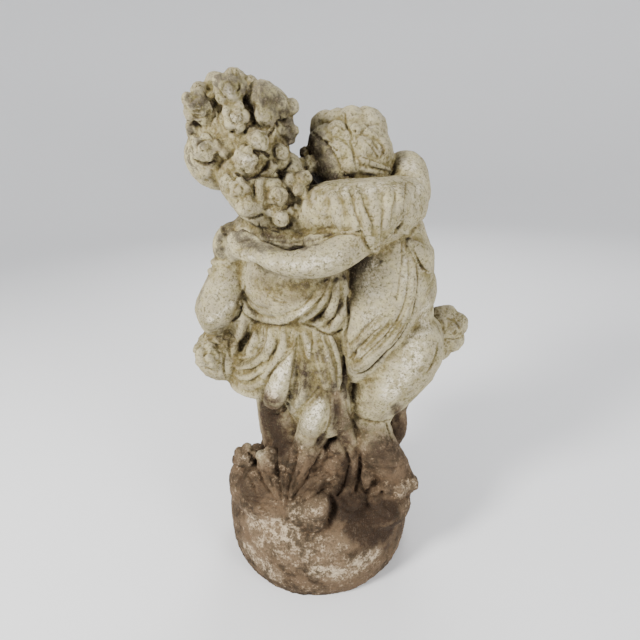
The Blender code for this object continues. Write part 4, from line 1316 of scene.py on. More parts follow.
@dataclass
class BackCloth(Detail):
    """The border, slanting folds and flap of the draped child's cloth, and the hip under it."""

    fold_stand: float = 0.7
    cut: float = 1.2
    folds: tuple[Marks, ...] = (
        (
            (408, 243, 1.6), (412, 262, 1.8), (412, 284, 2), (409, 305, 2.5), (402, 323, 3), (390, 339, 4),
            (377, 352, 5), (366, 362, 6), (357, 367, 6),
        ),
        ((386, 320, 3), (372, 333, 5), (356, 349, 5)),
        ((392, 327, 3), (378, 341, 5), (362, 356, 5)),
        ((398, 228, 3), (405, 231, 3), (412, 235, 3)),
    )
    flap: Marks = ((409, 242, 4), (417, 250, 8), (424, 259, 9), (428, 269, 5))
    grooves: tuple[Marks, ...] = (
        ((401, 240, 1.2), (402, 256, 1.8), (400, 277, 1.8), (397, 300, 1.2)),
        ((405, 243, 1.2), (408, 262, 2), (408, 284, 2), (404, 305, 2), (396, 322, 2), (385, 337, 2)),
        (
            (416, 264, 1.2), (417, 284, 1.8), (414, 306, 2), (407, 325, 2), (396, 342, 2.5),
            (382, 356, 3), (369, 369, 3), (358, 374, 2),
        ),
        ((378, 316, 1.5), (365, 328, 3), (350, 344, 3)),
        ((384, 324, 1.5), (366, 341, 3), (350, 358, 3)),
        ((390, 332, 1.2), (374, 347, 2), (360, 360, 2)),
        ((353, 416, 2), (366, 421, 3), (380, 423, 3), (390, 420, 2)),
        ((346, 400, 1.5), (349, 412, 2.5), (354, 424, 2.5), (357, 440, 1.5)),
        ((373, 466, 1.5), (385, 470, 3), (397, 468, 2)),
        ((438, 343, 1.5), (436.5, 354, 3), (432, 366, 3), (427, 373, 1.5)),
        ((446, 339, 1.5), (456, 339, 2), (466, 335, 1.5)),
        ((447, 318, 1.5), (455, 322, 2), (460, 330, 1.5)),
    )
    gaps: tuple[Marks, ...] = (
        ((386, 421, 2), (389, 430, 2.5), (392, 440, 2)),
        ((352, 360, 1.6), (356, 353, 1.6)),
        ((362, 347, 1.4), (367, 342, 1.4)),
    )
    edges: tuple[Marks, ...] = (
        (
            (357, 373, 4), (369, 368, 5), (382, 355, 5), (396, 341, 5), (407, 325, 4), (414, 306, 4),
            (417, 284, 4), (416, 264, 3),
        ),
        ((428, 272, 3), (421, 268, 4), (416, 258, 4), (411, 248, 3)),
    )
    paints: tuple = (
        (Layer.PALE, 0.75, ((416, 340, 12), (412, 360, 14), (402, 378, 14), (388, 392, 12))),
        (Layer.PALE, 0.5, ((424, 310, 12), (428, 330, 12))),
        (Layer.PALE, 0.35, ((405, 262, 9), (408, 290, 9))),
        # painted light on the back under the arm, a place that stands in the arm's shade
        (Layer.PALE, 0.35, ((374, 266, 12), (372, 286, 20), (372, 306, 20), (370, 326, 12))),
        (Layer.OCHRE, 0.8, ((352, 364, 7), (361, 361, 6))),
        (Layer.OCHRE, 0.4, ((366, 338, 10),)),
        (Layer.OCHRE, 0.6, ((366, 396, 18), (362, 414, 16), (376, 420, 14))),
        (Layer.LICHEN, 0.35, ((430, 290, 6), (436, 310, 6), (438, 330, 6))),
        (Layer.LICHEN, 0.3, ((456, 325, 10), (458, 342, 9))),
        (Layer.SOIL_AND_SHADE, 0.5, ((352, 352, 5), (364, 340, 4))),
    )

    def lay(self, clay: Clay, skin: Skin) -> None:
        """Lays the folds, the flap at the shoulder and the lobed end that flies at the hip."""
        super().lay(clay, skin)
        clay.fold(skin.trace(self.eye, self.flap), 0.45, 0.8)
        clay.limb([(136, -10, 458, 8), (150, -4, 446, 13), (156, 0, 432, 12)], 0.5)
        clay.ball((188, 44, 306), (34, 18, 40), (0, 12, 0))
        lobes = [((198, 46, 330), 16), ((210, 44, 316), 20), ((206, 44, 294), 20), ((190, 46, 276), 17)]
        for centre, size in lobes:
            clay.ball(centre, (size, 15, size))


@dataclass
class Legs(Detail):
    """The skirted child's calf under the skirt and the stone between the two children."""

    fold_stand: float = 0.45
    fold_flat: float = 0.8
    folds: tuple[Marks, ...] = (
        ((323, 400, 7), (317, 411, 12), (309, 425, 13), (303, 438, 12), (299, 450, 8)),
        ((342, 388, 5), (345, 400, 9), (346, 414, 11), (345, 430, 12), (343, 446, 10)),
        ((354, 414, 3), (355, 428, 5), (356, 444, 5)),
    )
    knobs: Marks = ((344, 431, 12, 0.0), (337, 446, 8, 0.0), (352, 440, 8, 0.0), (352, 454, 5, 0.0))
    grooves: tuple[Marks, ...] = (
        ((323, 404, 1.4), (318, 414, 1.8), (313, 425, 1.4)),
        ((327, 408, 1.4), (323, 420, 1.8), (319, 430, 1.4)),
        ((318, 402, 1.2), (312, 412, 1.6), (308, 420, 1.2)),
        ((336, 424, 1.5), (342, 418, 2), (350, 420, 1.5)),
        ((332, 438, 1.5), (339, 437, 2), (346, 441, 1.5)),
        ((296, 430, 2), (291, 445, 3), (288, 462, 2)),
        ((266, 402, 1.5), (282, 417, 2), (298, 412, 1.5)),
        ((330, 400, 1.6), (331, 414, 2.5), (328, 428, 3), (320, 444, 3)),
        ((334, 396, 1.5), (336, 412, 2), (334, 424, 1.5)),
    )
    gaps: tuple[Marks, ...] = (
        ((318, 441, 3),),
        ((325, 433, 2),),
        ((321, 447, 2),),
    )
    paints: tuple = (
        (Layer.SOIL_AND_SHADE, 0.6, ((262, 392, 7), (270, 402, 10), (276, 396, 8))),
        (Layer.EARTH_AND_SHADE, 1.0, ((270, 400, 16), (274, 418, 22), (278, 436, 24), (284, 452, 22))),
        (Layer.EARTH_AND_SHADE, 1.0, ((262, 416, 12), (266, 432, 14), (270, 446, 14))),
        (Layer.EARTH_AND_SHADE, 0.9, ((336, 396, 10), (340, 414, 14), (345, 432, 18), (347, 452, 16))),
        # painted shadow on the far leg under the thigh
        (Layer.EARTH_AND_SHADE, 1.0, ((397, 410, 10), (400, 424, 12), (400, 440, 12))),
        (Layer.SOIL_AND_SHADE, 0.7, ((394, 406, 7), (398, 420, 8), (400, 436, 8))),
        (Layer.EARTH_AND_SHADE, 0.8, ((362, 432, 14), (378, 440, 18), (388, 456, 18), (392, 474, 16))),
        (Layer.EARTH_AND_SHADE, 0.7, ((312, 440, 12), (316, 456, 14))),
        (Layer.PALE, 1.0, ((321, 403, 6), (315, 415, 9), (309, 427, 9))),
        # two small painted highlights, glints on the stone
        (Layer.PALE, 0.9, ((302, 433, 2.5),)),
        (Layer.PALE, 0.9, ((302, 447, 2.5),)),
        (Layer.SOIL_AND_SHADE, 0.9, ((318, 442, 7), (324, 434, 5))),
        (Layer.SOIL_AND_SHADE, 1.0, ((266, 408, 14), (272, 426, 18), (280, 446, 16))),
        (Layer.SOIL_AND_SHADE, 0.6, ((336, 404, 8), (336, 424, 8), (346, 446, 10))),
        (Layer.SOIL_AND_SHADE, 0.5, ((372, 444, 10), (390, 470, 10))),
        (Layer.LICHEN, 0.5, ((285, 420, 8), (292, 430, 8))),
    )


@dataclass
class Plants(Detail):
    """The rose bush, the long ribbed leaves and the rocks of the mound."""

    fold_flat: float = 0.6
    fold_stand: float = 0.6
    cut: float = 1.35
    petalled: float = 11.0
    blooms: Marks = ((246, 456, 12, 0.5), (268, 460, 13, 0.5))
    knobs: Marks = (
        (239, 460, 7, 0.1), (257, 450, 7, 0.1), (258, 482, 20, -0.72), (270, 474, 14, -0.6),
        (300, 510, 20, -0.6), (316, 505, 16, -0.3), (314, 518, 12, -0.4), (258, 509, 5, 0.1),
        (264, 512, 4, 0.1), (332, 478, 6, -0.3), (386, 487, 9, -0.3), (398, 490, 9, -0.3),
        (376, 500, 8, -0.3), (356, 502, 6, -0.3), (340, 504, 5, -0.3), (318, 452, 8, -0.3),
        (350, 470, 4, 0.1), (346, 490, 5, 0.0), (412, 484, 7, 0.0),
    )
    folds: tuple[Marks, ...] = (
        ((289, 500, 3), (294, 484, 8), (301, 468, 11), (309, 453, 9)),
        ((284, 500, 3), (284, 482, 7), (287, 464, 8), (290, 448, 6)),
        ((279, 500, 3), (273, 484, 6), (268, 468, 7), (266, 454, 5)),
        ((295, 500, 3), (308, 487, 8), (322, 474, 10), (334, 462, 7)),
        ((364, 462, 3), (367, 476, 6), (366, 488, 4)),
        ((350, 500, 3), (362, 496, 4), (375, 503, 4), (386, 512, 3)),
        ((344, 494, 4), (348, 476, 6), (352, 458, 4)),
    )
    grooves: tuple[Marks, ...] = (
        ((282, 501, 2), (279, 484, 3.5), (277, 466, 3.5), (277, 448, 2)),
        ((287, 501, 2), (289, 484, 3.5), (294, 466, 3.5), (298, 448, 2)),
        ((292, 500, 2), (302, 484, 3.5), (313, 468, 4), (321, 452, 2.5)),
        ((284, 496, 1.2), (284, 480, 2), (287, 462, 1.2)),
        ((291, 494, 1.2), (297, 479, 2.2), (305, 462, 1.5)),
        ((278, 499, 1.2), (271, 482, 2), (267, 466, 1.2)),
        ((276, 501, 2), (265, 486, 3), (259, 470, 2)),
        ((299, 497, 1.2), (313, 484, 2), (328, 471, 1.2)),
        ((297, 503, 2), (316, 493, 3), (334, 480, 2)),
        ((282, 502, 1.5), (264, 499, 2.5), (244, 496, 1.5)),
        ((244, 470, 1.2), (252, 482, 2), (256, 494, 1.2)),
        ((320, 490, 1.2), (328, 478, 1.8), (334, 466, 1.2)),
        ((243, 499, 1.5), (262, 504, 2.5), (280, 508, 2)),
        ((362, 462, 1.2), (360, 473, 2), (361, 485, 2), (366, 491, 2), (372, 484, 2), (371, 473, 2)),
        ((346, 448, 3), (348, 466, 6), (345, 480, 6), (338, 494, 4)),
        ((360, 455, 2), (359, 474, 4), (356, 490, 3)),
        ((331, 494, 4), (334, 508, 8), (329, 524, 7)),
        ((368, 508, 1.5), (378, 515, 2), (390, 520, 1.5)),
        ((340, 508, 1.5), (352, 512, 2), (364, 510, 1.5)),
    )
    gaps: tuple[Marks, ...] = (
        ((368, 497, 1.5), (376, 494, 2), (386, 495, 1.5)),
        ((382, 493, 3),),
    )
    paints: tuple = (
        (Layer.PALE, 0.45, ((296, 512, 12), (310, 514, 14), (318, 506, 12))),
        (Layer.PALE, 0.7, ((252, 522, 12), (270, 526, 16), (290, 534, 14))),
        (Layer.PALE, 0.7, ((318, 572, 12), (340, 572, 14), (358, 566, 14), (376, 554, 10))),
        (Layer.PALE, 0.65, ((246, 546, 10), (258, 560, 12), (274, 574, 12))),
        (Layer.PALE, 0.4, ((290, 556, 18), (316, 552, 18), (340, 548, 14))),
        (Layer.PALE, 0.4, ((262, 542, 16), (282, 550, 16))),
        (Layer.PALE, 0.4, ((244, 456, 12), (268, 458, 13))),
        (Layer.PALE, 0.45, ((402, 492, 9), (414, 484, 8))),
        (Layer.OCHRE, 0.7, ((268, 540, 16), (286, 556, 14))),
        # painted shadow on the right of the mound and round its rocks, over dark soil
        (Layer.SOIL_AND_SHADE, 1.0, ((336, 502, 14), (356, 510, 22), (374, 514, 22), (390, 512, 14))),
        (Layer.SOIL_AND_SHADE, 0.85, ((356, 530, 18), (376, 534, 20), (394, 526, 14))),
        (Layer.SOIL_AND_SHADE, 0.5, ((384, 548, 12), (398, 534, 12))),
        # painted shadow down the right side of the boulder
        (Layer.SOIL_AND_SHADE, 0.6, ((332, 498, 10), (334, 512, 10), (328, 524, 8))),
        (Layer.SOIL_AND_SHADE, 0.45, ((300, 488, 10), (322, 488, 12), (286, 486, 8))),
        (Layer.SOIL_AND_SHADE, 0.9, ((346, 462, 9), (348, 478, 10), (340, 492, 9))),
        (Layer.SOIL_AND_SHADE, 0.5, ((240, 480, 8), (246, 494, 10), (268, 498, 10))),
        (Layer.SOIL_AND_SHADE, 0.6, ((262, 490, 10), (256, 500, 8))),
    )


@dataclass
class FrontFolds(Detail):
    """Plain folds of both clothes on the side that looks forward."""

    eye: Eye = FRONT_EYE
    fold_stand: float = 0.55
    skirt_top: float = 314.0
    skirt_foot: float = 367.0

    def lay(self, clay: Clay, skin: Skin) -> None:
        """Lays a belt and a fan of folds on the skirt, and swags on the short cloth."""
        folds = []
        for i in range(8):
            share = i / 7
            top = (318 + 34 * share, self.skirt_top + 3 * math.sin(3 * share), 3)
            waist = (312 + 52 * share, 0.5 * (self.skirt_top + self.skirt_foot), 4)
            foot = (307 + 66 * share, self.skirt_foot + 2 * (i % 2), 4)
            folds.append((top, waist, foot))
        for i in range(3):
            v = 332 + 13 * i
            folds.append(((212, v - 5, 3), (240, v + 4, 4), (272, v - 3, 3)))
        for i in range(3):
            folds.append(((266 + 8 * i, 262, 3), (254 + 8 * i, 290, 4), (246 + 9 * i, 318, 3)))
        for marks in folds:
            clay.fold(skin.trace(self.eye, marks), 1.0, self.fold_stand)


@dataclass
class HeldRoses(Detail):
    """The roses in the lap of the skirt, seen from behind and from the front."""

    roses: tuple = (
        ((-134, -20, 318), (-0.3, -1, 0.1), 22),
        ((-100, 44, 336), (-0.2, 0.5, 1), 17),
        ((-122, 34, 344), (-0.2, 0.5, 1), 17),
        ((-82, 66, 346), (-0.2, 0.5, 1), 17),
        ((-54, 74, 338), (-0.2, 0.5, 1), 17),
        ((-76, 54, 362), (-0.2, 0.5, 1), 17),
    )

    def lay(self, clay: Clay, skin: Skin) -> None:
        """Lays the roses."""
        for rose in self.roses:
            clay.rose(*rose)


class Graph:
    """A node tree with short ways to add and join nodes."""

    def __init__(self, tree: bpy.types.NodeTree) -> None:
        """Takes the tree to work on."""
        self.tree = tree

    def add(self, kind: str, **settings: object) -> bpy.types.Node:
        """Adds a node and sets its properties."""
        node = self.tree.nodes.new(kind)
        for name, value in settings.items():
            setattr(node, name, value)
        return node

    def feed(self, socket: Socket, value: object) -> None:
        """Joins a socket to another one, or sets its value."""
        if isinstance(value, Socket):
            self.tree.links.new(value, socket)
        else:
            socket.default_value = value

    def noise(self, where: Socket, scale: float, detail: float, rough: float) -> Socket:
        """Adds fractal noise of a scale per metre."""
        node = self.add("ShaderNodeTexNoise")
        self.feed(node.inputs["Vector"], where)
        for name, value in (("Scale", scale), ("Detail", detail), ("Roughness", rough)):
            self.feed(node.inputs[name], value)
        return node.outputs["Fac"]

    def cells(self, where: Socket, scale: float) -> Socket:
        """Adds the distance to the nearest of many scattered points."""
        node = self.add("ShaderNodeTexVoronoi")
        self.feed(node.inputs["Vector"], where)
        self.feed(node.inputs["Scale"], scale)
        return node.outputs["Distance"]

    def band(self, value: Socket, low: float, high: float) -> Socket:
        """Adds a soft step from 0 at low to 1 at high."""
        node = self.add("ShaderNodeMapRange", interpolation_type="SMOOTHSTEP")
        for name, given in (("Value", value), ("From Min", low), ("From Max", high)):
            self.feed(node.inputs[name], given)
        return node.outputs["Result"]

    def maths(self, kind: str, first: object, second: object) -> Socket:
        """Adds an operation on two values, kept between 0 and 1."""
        node = self.add("ShaderNodeMath", operation=kind, use_clamp=True)
        self.feed(node.inputs[0], first)
        self.feed(node.inputs[1], second)
        return node.outputs[0]

    def times(self, first: object, second: object) -> Socket:
        """Adds a product."""
        return self.maths("MULTIPLY", first, second)

    def plus(self, first: object, second: object) -> Socket:
        """Adds a sum."""
        return self.maths("ADD", first, second)

    def mix(self, amount: object, first: object, second: object) -> Socket:
        """Adds a mix of two colours."""
        node = self.add("ShaderNodeMix", data_type="RGBA")
        for index, value in ((0, amount), (6, first), (7, second)):
            if isinstance(value, tuple):
                value = (*value, 1.0)
            self.feed(node.inputs[index], value)
        return node.outputs[2]


def new_group(
    name: str, inputs: tuple[tuple[str, str], ...], outputs: tuple[tuple[str, str], ...]
) -> tuple[Graph, bpy.types.Node, bpy.types.Node]:
    """Makes an empty node group.

    Args:
        name: The name of the group.
        inputs: Names and kinds of its inputs.
        outputs: Names and kinds of its outputs.

    Returns:
        The group's graph, the node that gives its inputs and the node that takes its outputs.
    """
    tree = bpy.data.node_groups.new(name, "ShaderNodeTree")
    for way, sockets in (("INPUT", inputs), ("OUTPUT", outputs)):
        for label, kind in sockets:
            tree.interface.new_socket(name=label, in_out=way, socket_type="NodeSocket" + kind)
    graph = Graph(tree)
    return graph, graph.add("NodeGroupInput"), graph.add("NodeGroupOutput")


@dataclass(frozen=True)
class Grain:
    """The noises that break up the layers of the finish."""

    specks: Socket
    stains: Socket
    broad: Socket
    patchy: Socket
    mottled: Socket
    broken: Socket


@dataclass(frozen=True)
class CastStone:
    """Weathered pale cast stone: grain, worn high spots, lichen, ochre hollows and soil.

    The hollows and deep places also get painted shade, and a few pale places are painted highlights.
    """

    name: str = "weathered cast stone"
    body: Colour = (0.215, 0.186, 0.085)
    light: Colour = (0.45, 0.40, 0.225)
    # ochre stains the body and also paints the shade in hollows and sheltered places
    ochre: Colour = (0.125, 0.092, 0.028)
    lichen: Colour = (0.05, 0.04, 0.028)
    white: Colour = (0.74, 0.675, 0.52)
    chalk: Colour = (0.50, 0.455, 0.33)
    cream: Colour = (0.56, 0.46, 0.32)
    # brown is the earth and also the painted shade of deep places
    brown: Colour = (0.021, 0.012, 0.007)
    tan: Colour = (0.118, 0.074, 0.043)
    # dark is only the painted shade of the deepest places
    dark: Colour = (0.006, 0.003, 0.0015)
    grit: Colour = (0.40, 0.305, 0.195)
    ground_low: float = 0.182
    ground_high: float = 0.252
    ground_ragged: float = 0.16
    speck_scale: float = 340.0
    blotch_scale: float = 110.0
    stain_scale: float = 48.0
    broad_scale: float = 20.0
    pit_scale: float = 300.0
    pock_scale: float = 230.0
    bump_strength: float = 0.9
    bump_depth: float = 0.0016
    shine: float = 0.15

    def grain_group(self) -> bpy.types.NodeTree:
        """Makes the group of stone grain: specks, blotches and pits at several sizes."""
        graph, given, taken = new_group(
            "StoneGrain",
            (("Position", "Vector"),),
            tuple((name, "Float") for name in ("Specks", "Blotches", "Stains", "Broad", "Height")),
        )
        where = given.outputs["Position"]
        stains = graph.noise(where, self.stain_scale, 8.0, 0.72)
        specks = graph.noise(where, self.speck_scale, 3.0, 0.75)
        blotches = graph.noise(where, self.blotch_scale, 6.0, 0.7)
        broad = graph.noise(where, self.broad_scale, 6.0, 0.65)
        pits = graph.band(graph.cells(where, self.pit_scale), 0.05, 0.3)
        pocks = graph.band(graph.noise(where, self.pock_scale, 3.0, 0.6), 0.32, 0.5)
        height = graph.plus(graph.times(specks, 0.45), graph.times(pits, 0.25))
        height = graph.plus(height, graph.times(pocks, 0.3))
        for socket, value in zip(taken.inputs, (specks, blotches, stains, broad, height)):
            graph.feed(socket, value)
        return graph.tree

    def stone(self, graph: Graph, layer: dict[Layer, Socket], grain: Grain) -> Socket:
        """Lays worn spots, ochre, painted shade in hollows and sheltered places, and lichen over the pale
        body.
        """
        colour = graph.mix(graph.band(grain.broad, 0.38, 0.6), self.body, self.light)
        colour = graph.mix(graph.times(grain.patchy, 0.5), colour, self.ochre)
        stained = graph.band(grain.stains, 0.47, 0.63)
        colour = graph.mix(graph.times(stained, 0.6), colour, self.ochre)
        worn = graph.times(layer[Layer.WORN], graph.band(grain.mottled, 0.4, 0.55))
        colour = graph.mix(graph.times(worn, 0.5), colour, self.chalk)
        # ochre in the hollows: partly the stone's own ochre, partly painted shade where the skin is
        # concave or sheltered
        hollow = graph.plus(graph.times(layer[Layer.HOLLOW], 0.8), layer[Layer.OCHRE])
        sheltered = graph.band(layer[Layer.SHELTER], 0.1, 0.6)
        hollow = graph.plus(hollow, graph.times(sheltered, 0.5))
        uneven = graph.plus(graph.times(grain.patchy, 0.5), 0.4)
        colour = graph.mix(graph.times(hollow, uneven), colour, self.ochre)
        grey = graph.plus(graph.times(layer[Layer.LICHEN], 0.55), grain.broken)
        return graph.mix(graph.times(graph.band(grey, 0.38, 0.85), 0.85), colour, self.lichen)

    def lowness(self, graph: Graph, where: Socket, layer: dict[Layer, Socket], grain: Grain) -> Socket:
        """Finds where the earth colours lie: near the ground, with a ragged edge, or painted."""
        tall = graph.add("ShaderNodeSeparateXYZ")
        graph.feed(tall.inputs[0], where)
        level = graph.add("ShaderNodeMath", operation="MULTIPLY_ADD")
        for socket, value in zip(level.inputs, (grain.broad, self.ground_ragged, tall.outputs["Z"])):
            graph.feed(socket, value)
        lift = self.ground_ragged / 2
        near = graph.band(level.outputs[0], self.ground_high + lift, self.ground_low + lift)
        painted = graph.times(layer[Layer.EARTH_AND_SHADE], graph.band(grain.mottled, 0.3, 0.5))
        return graph.maths("MAXIMUM", near, painted)

    def earth(self, graph: Graph, grain: Grain) -> Socket:
        """Makes the mottled brown of the mound."""
        colour = graph.mix(graph.band(grain.broad, 0.42, 0.58), self.brown, self.tan)
        colour = graph.mix(graph.times(grain.patchy, 0.6), colour, self.tan)
        return graph.mix(graph.times(graph.band(grain.mottled, 0.54, 0.64), 0.7), colour, self.grit)

    def shade_and_soil(self, graph: Graph, colour: Socket, layer: dict[Layer, Socket], grain: Grain) -> Socket:
        """Lays painted shade in the deep places, brown and near black in the deepest, then the soil and
        its painted shadow.
        """
        # painted shade, partly dark soil lodged in crevices: the less sky a place sees, the browner and
        # blacker
        deep = graph.band(layer[Layer.SHELTER], 0.25, 0.9)
        colour = graph.mix(graph.times(deep, 0.85), colour, self.brown)
        colour = graph.mix(graph.times(graph.times(deep, deep), 0.6), colour, self.dark)
        soil_and_shade = graph.plus(layer[Layer.SOIL_AND_SHADE], graph.times(grain.broken, 0.8))
        return graph.mix(graph.times(graph.band(soil_and_shade, 0.4, 1.0), 0.9), colour, self.brown)

    def rubbed_and_highlit(
        self, graph: Graph, colour: Socket, low: Socket, layer: dict[Layer, Socket], grain: Grain
    ) -> Socket:
        """Lays the pale places, whiter up high, and then the finest specks; the pale places are rubbed
        wear and also painted highlights.
        """
        # pale layer: rubbed wear and dust, and painted highlights where it is laid for light
        dust_and_highlight = graph.times(layer[Layer.PALE], graph.plus(graph.times(grain.broken, 0.8), 0.2))
        colour = graph.mix(dust_and_highlight, colour, graph.mix(low, self.chalk, self.grit))
        # the whitest pale places: bare worn stone and also painted highlights
        bare = graph.plus(graph.times(layer[Layer.PALE], 0.5), grain.broken)
        colour = graph.mix(graph.band(bare, 0.45, 0.95), colour, graph.mix(low, self.white, self.cream))
        colour = graph.mix(graph.times(graph.band(grain.specks, 0.47, 0.36), 0.6), colour, self.lichen)
        pale_grit = graph.mix(low, self.grit, self.tan)
        return graph.mix(graph.times(graph.band(grain.specks, 0.5, 0.7), 0.3), colour, pale_grit)

    def weather_group(self) -> bpy.types.NodeTree:
        """Makes the group that lays the colours over each other."""
        layers = tuple((layer.value.title(), "Float") for layer in Layer)
        graph, given, taken = new_group(
            "StoneWearShadeAndHighlight",
            (("Position", "Vector"), *layers),
            (("Color", "Color"), ("Roughness", "Float"), ("Height", "Float")),
        )
        where = given.outputs["Position"]
        layer = {item: given.outputs[item.value.title()] for item in Layer}
        node = graph.add("ShaderNodeGroup", node_tree=self.grain_group())
        graph.feed(node.inputs["Position"], where)
        specks, blotches, stains, broad, height = node.outputs
        patchy = graph.band(blotches, 0.4, 0.6)
        mottled = graph.plus(graph.times(blotches, 0.6), graph.times(specks, 0.4))
        broken = graph.times(graph.band(mottled, 0.4, 0.6), 0.5)
        grain = Grain(specks, stains, broad, patchy, mottled, broken)

        low = self.lowness(graph, where, layer, grain)
        colour = self.stone(graph, layer, grain)
        colour = graph.mix(graph.times(low, 0.95), colour, self.earth(graph, grain))
        # painted shade and soil, then pale wear and painted highlights
        colour = self.shade_and_soil(graph, colour, layer, grain)
        colour = self.rubbed_and_highlit(graph, colour, low, layer, grain)
        graph.feed(taken.inputs["Color"], colour)
        graph.feed(taken.inputs["Roughness"], graph.plus(graph.times(specks, 0.2), 0.78))
        graph.feed(taken.inputs["Height"], height)
        return graph.tree

    def material(self) -> bpy.types.Material:
        """Makes the material."""
        made = bpy.data.materials.new(self.name)
        made.use_nodes = True
        graph = Graph(made.node_tree)
        shader = made.node_tree.nodes["Principled BSDF"]
        place = graph.add("ShaderNodeTexCoord")
        group = graph.add("ShaderNodeGroup", node_tree=self.weather_group())
        graph.feed(group.inputs["Position"], place.outputs["Object"])
        for layer in Layer:
            painted = graph.add("ShaderNodeAttribute", attribute_name=layer.value)
            graph.feed(group.inputs[layer.value.title()], painted.outputs["Fac"])
        bump = graph.add("ShaderNodeBump")
        graph.feed(bump.inputs["Strength"], self.bump_strength)
        graph.feed(bump.inputs["Distance"], self.bump_depth)
        graph.feed(bump.inputs["Height"], group.outputs["Height"])
        graph.feed(shader.inputs["Specular IOR Level"], self.shine)
        graph.feed(shader.inputs["Base Color"], group.outputs["Color"])
        graph.feed(shader.inputs["Roughness"], group.outputs["Roughness"])
        graph.feed(shader.inputs["Normal"], bump.outputs["Normal"])
        return made


@dataclass
class Group:
    """The whole cast group: builds the skin, carves it, weathers it and dresses it.

    rough holds the places that the weather wore more: centre, radius and how much more.
    """

    voxel: float = 1.6
    triangles: int = 190_000
    seed: int = 7
    name: str = "cast_group"
    rough: tuple[tuple[Row, float, float], ...] = (
        ((-66, -26, 586), 62.0, 0.7),
        ((-20, -50, 515), 48.0, 0.5),
        ((62, -10, 560), 50.0, 0.2),
        ((-60, -60, 160), 36.0, 0.8),
        ((20, -60, 150), 60.0, 0.5),
        ((198, 40, 300), 46.0, 0.8),
        ((-130, -10, 320), 46.0, 0.7),
    )

    def __post_init__(self) -> None:
        """Gathers the masses and the details in the order that they are worked in."""
        self.mound = Mound()
        self.masses = (SkirtedChild(), DrapedChild(), Dress(), ShortCloth(), self.mound)
        self.details: tuple[Detail, ...] = (
            SkirtedHair(), NapeCurls(), DrapedHair(), Sleeve(), Bodice(), Skirt(), BackCloth(), Legs(),
            Plants(), FrontFolds(), HeldRoses(),
        )
        self.chance = random.Random(self.seed)

    def model(self) -> bpy.types.Mesh:
        """Melts the masses and everything laid on them into one dense skin."""
        clay = Clay()
        for mass in self.masses:
            clay.lumps.append(mass.melt())
        HairBulk().shape(clay)
        skin = Skin(clay.whole())
        for detail in self.details:
            detail.lay(clay, skin)
        for head in (SKIRTED_HEAD, DRAPED_HEAD):
            head.shape_face(clay)
            head.curl_front(clay, self.chance)
        self.mound.strew(clay, self.chance)
        mesh = clay.melt(self.name, self.voxel, 1)
        log.info("modelled: %d vertices", len(mesh.vertices))
        return mesh

    def carve(self, mesh: bpy.types.Mesh) -> None:
        """Carves the details and lets the weather at the skin."""
        carver = Carver(mesh)
        for detail in self.details:
            detail.carve(carver)
        carver.weather(self.chance, self.rough)
        carver.finish()
        log.info("carved")

    def thin(self, mesh: bpy.types.Mesh) -> bpy.types.Object:
        """Thins the skin to its number of triangles and cuts it level with the ground."""
        obj = bpy.data.objects.new(self.name, mesh)
        bpy.context.scene.collection.objects.link(obj)
        mesh.calc_loop_triangles()
        thin = obj.modifiers.new("thin", "DECIMATE")
        thin.ratio = min(1.0, self.triangles / len(mesh.loop_triangles))
        thin.use_collapse_triangulate = True
        graph = bpy.context.evaluated_depsgraph_get()
        made = bpy.data.meshes.new_from_object(obj.evaluated_get(graph))
        obj.modifiers.clear()
        obj.data = made
        made.name = self.name
        clay = bmesh.new()
        clay.from_mesh(made)
        level = bmesh.ops.bisect_plane(
            clay,
            geom=[*clay.verts, *clay.edges, *clay.faces],
            dist=1e-6,
            plane_co=(0, 0, 0),
            plane_no=(0, 0, -1),
            clear_outer=True,
        )["geom_cut"]
        rim = [e for e in level if isinstance(e, bmesh.types.BMEdge)]
        bmesh.ops.contextual_create(clay, geom=rim)
        bmesh.ops.triangulate(clay, faces=clay.faces)
        clay.to_mesh(made)
        clay.free()
        log.info("thinned: %d triangles", len(made.polygons))
        return obj

    def fit(self, obj: bpy.types.Object, low: Vector, high: Vector) -> None:
        """Keeps the skin inside a box given in metres."""
        for vert in obj.data.vertices:
            for axis in range(3):
                least, most = low[axis] * MILLIMETRES, high[axis] * MILLIMETRES
                vert.co[axis] = min(max(vert.co[axis], least), most)

    def dress(self, obj: bpy.types.Object) -> None:
        """Paints the layers, brings the mesh to metres and gives it its finish."""
        painter = Painter(obj.data)
        painter.feel()
        painter.shade(self.chance)
        for detail in self.details:
            detail.paint(painter)
        painter.finish()
        obj.data.transform(Matrix.Scale(1.0 / MILLIMETRES, 4))
        obj.data.shade_smooth()
        obj.data.materials.clear()
        obj.data.materials.append(CastStone().material())
        log.info("dressed")

    def build(self, low: Vector, high: Vector) -> bpy.types.Object:
        """Builds the finished piece.

        Args:
            low: The lowest corner of the box that it stays in, in metres.
            high: The highest corner.

        Returns:
            The piece, at the origin, unturned and unscaled.
        """
        mesh = self.model()
        self.carve(mesh)
        obj = self.thin(mesh)
        self.fit(obj, low, high)
        self.dress(obj)
        return obj


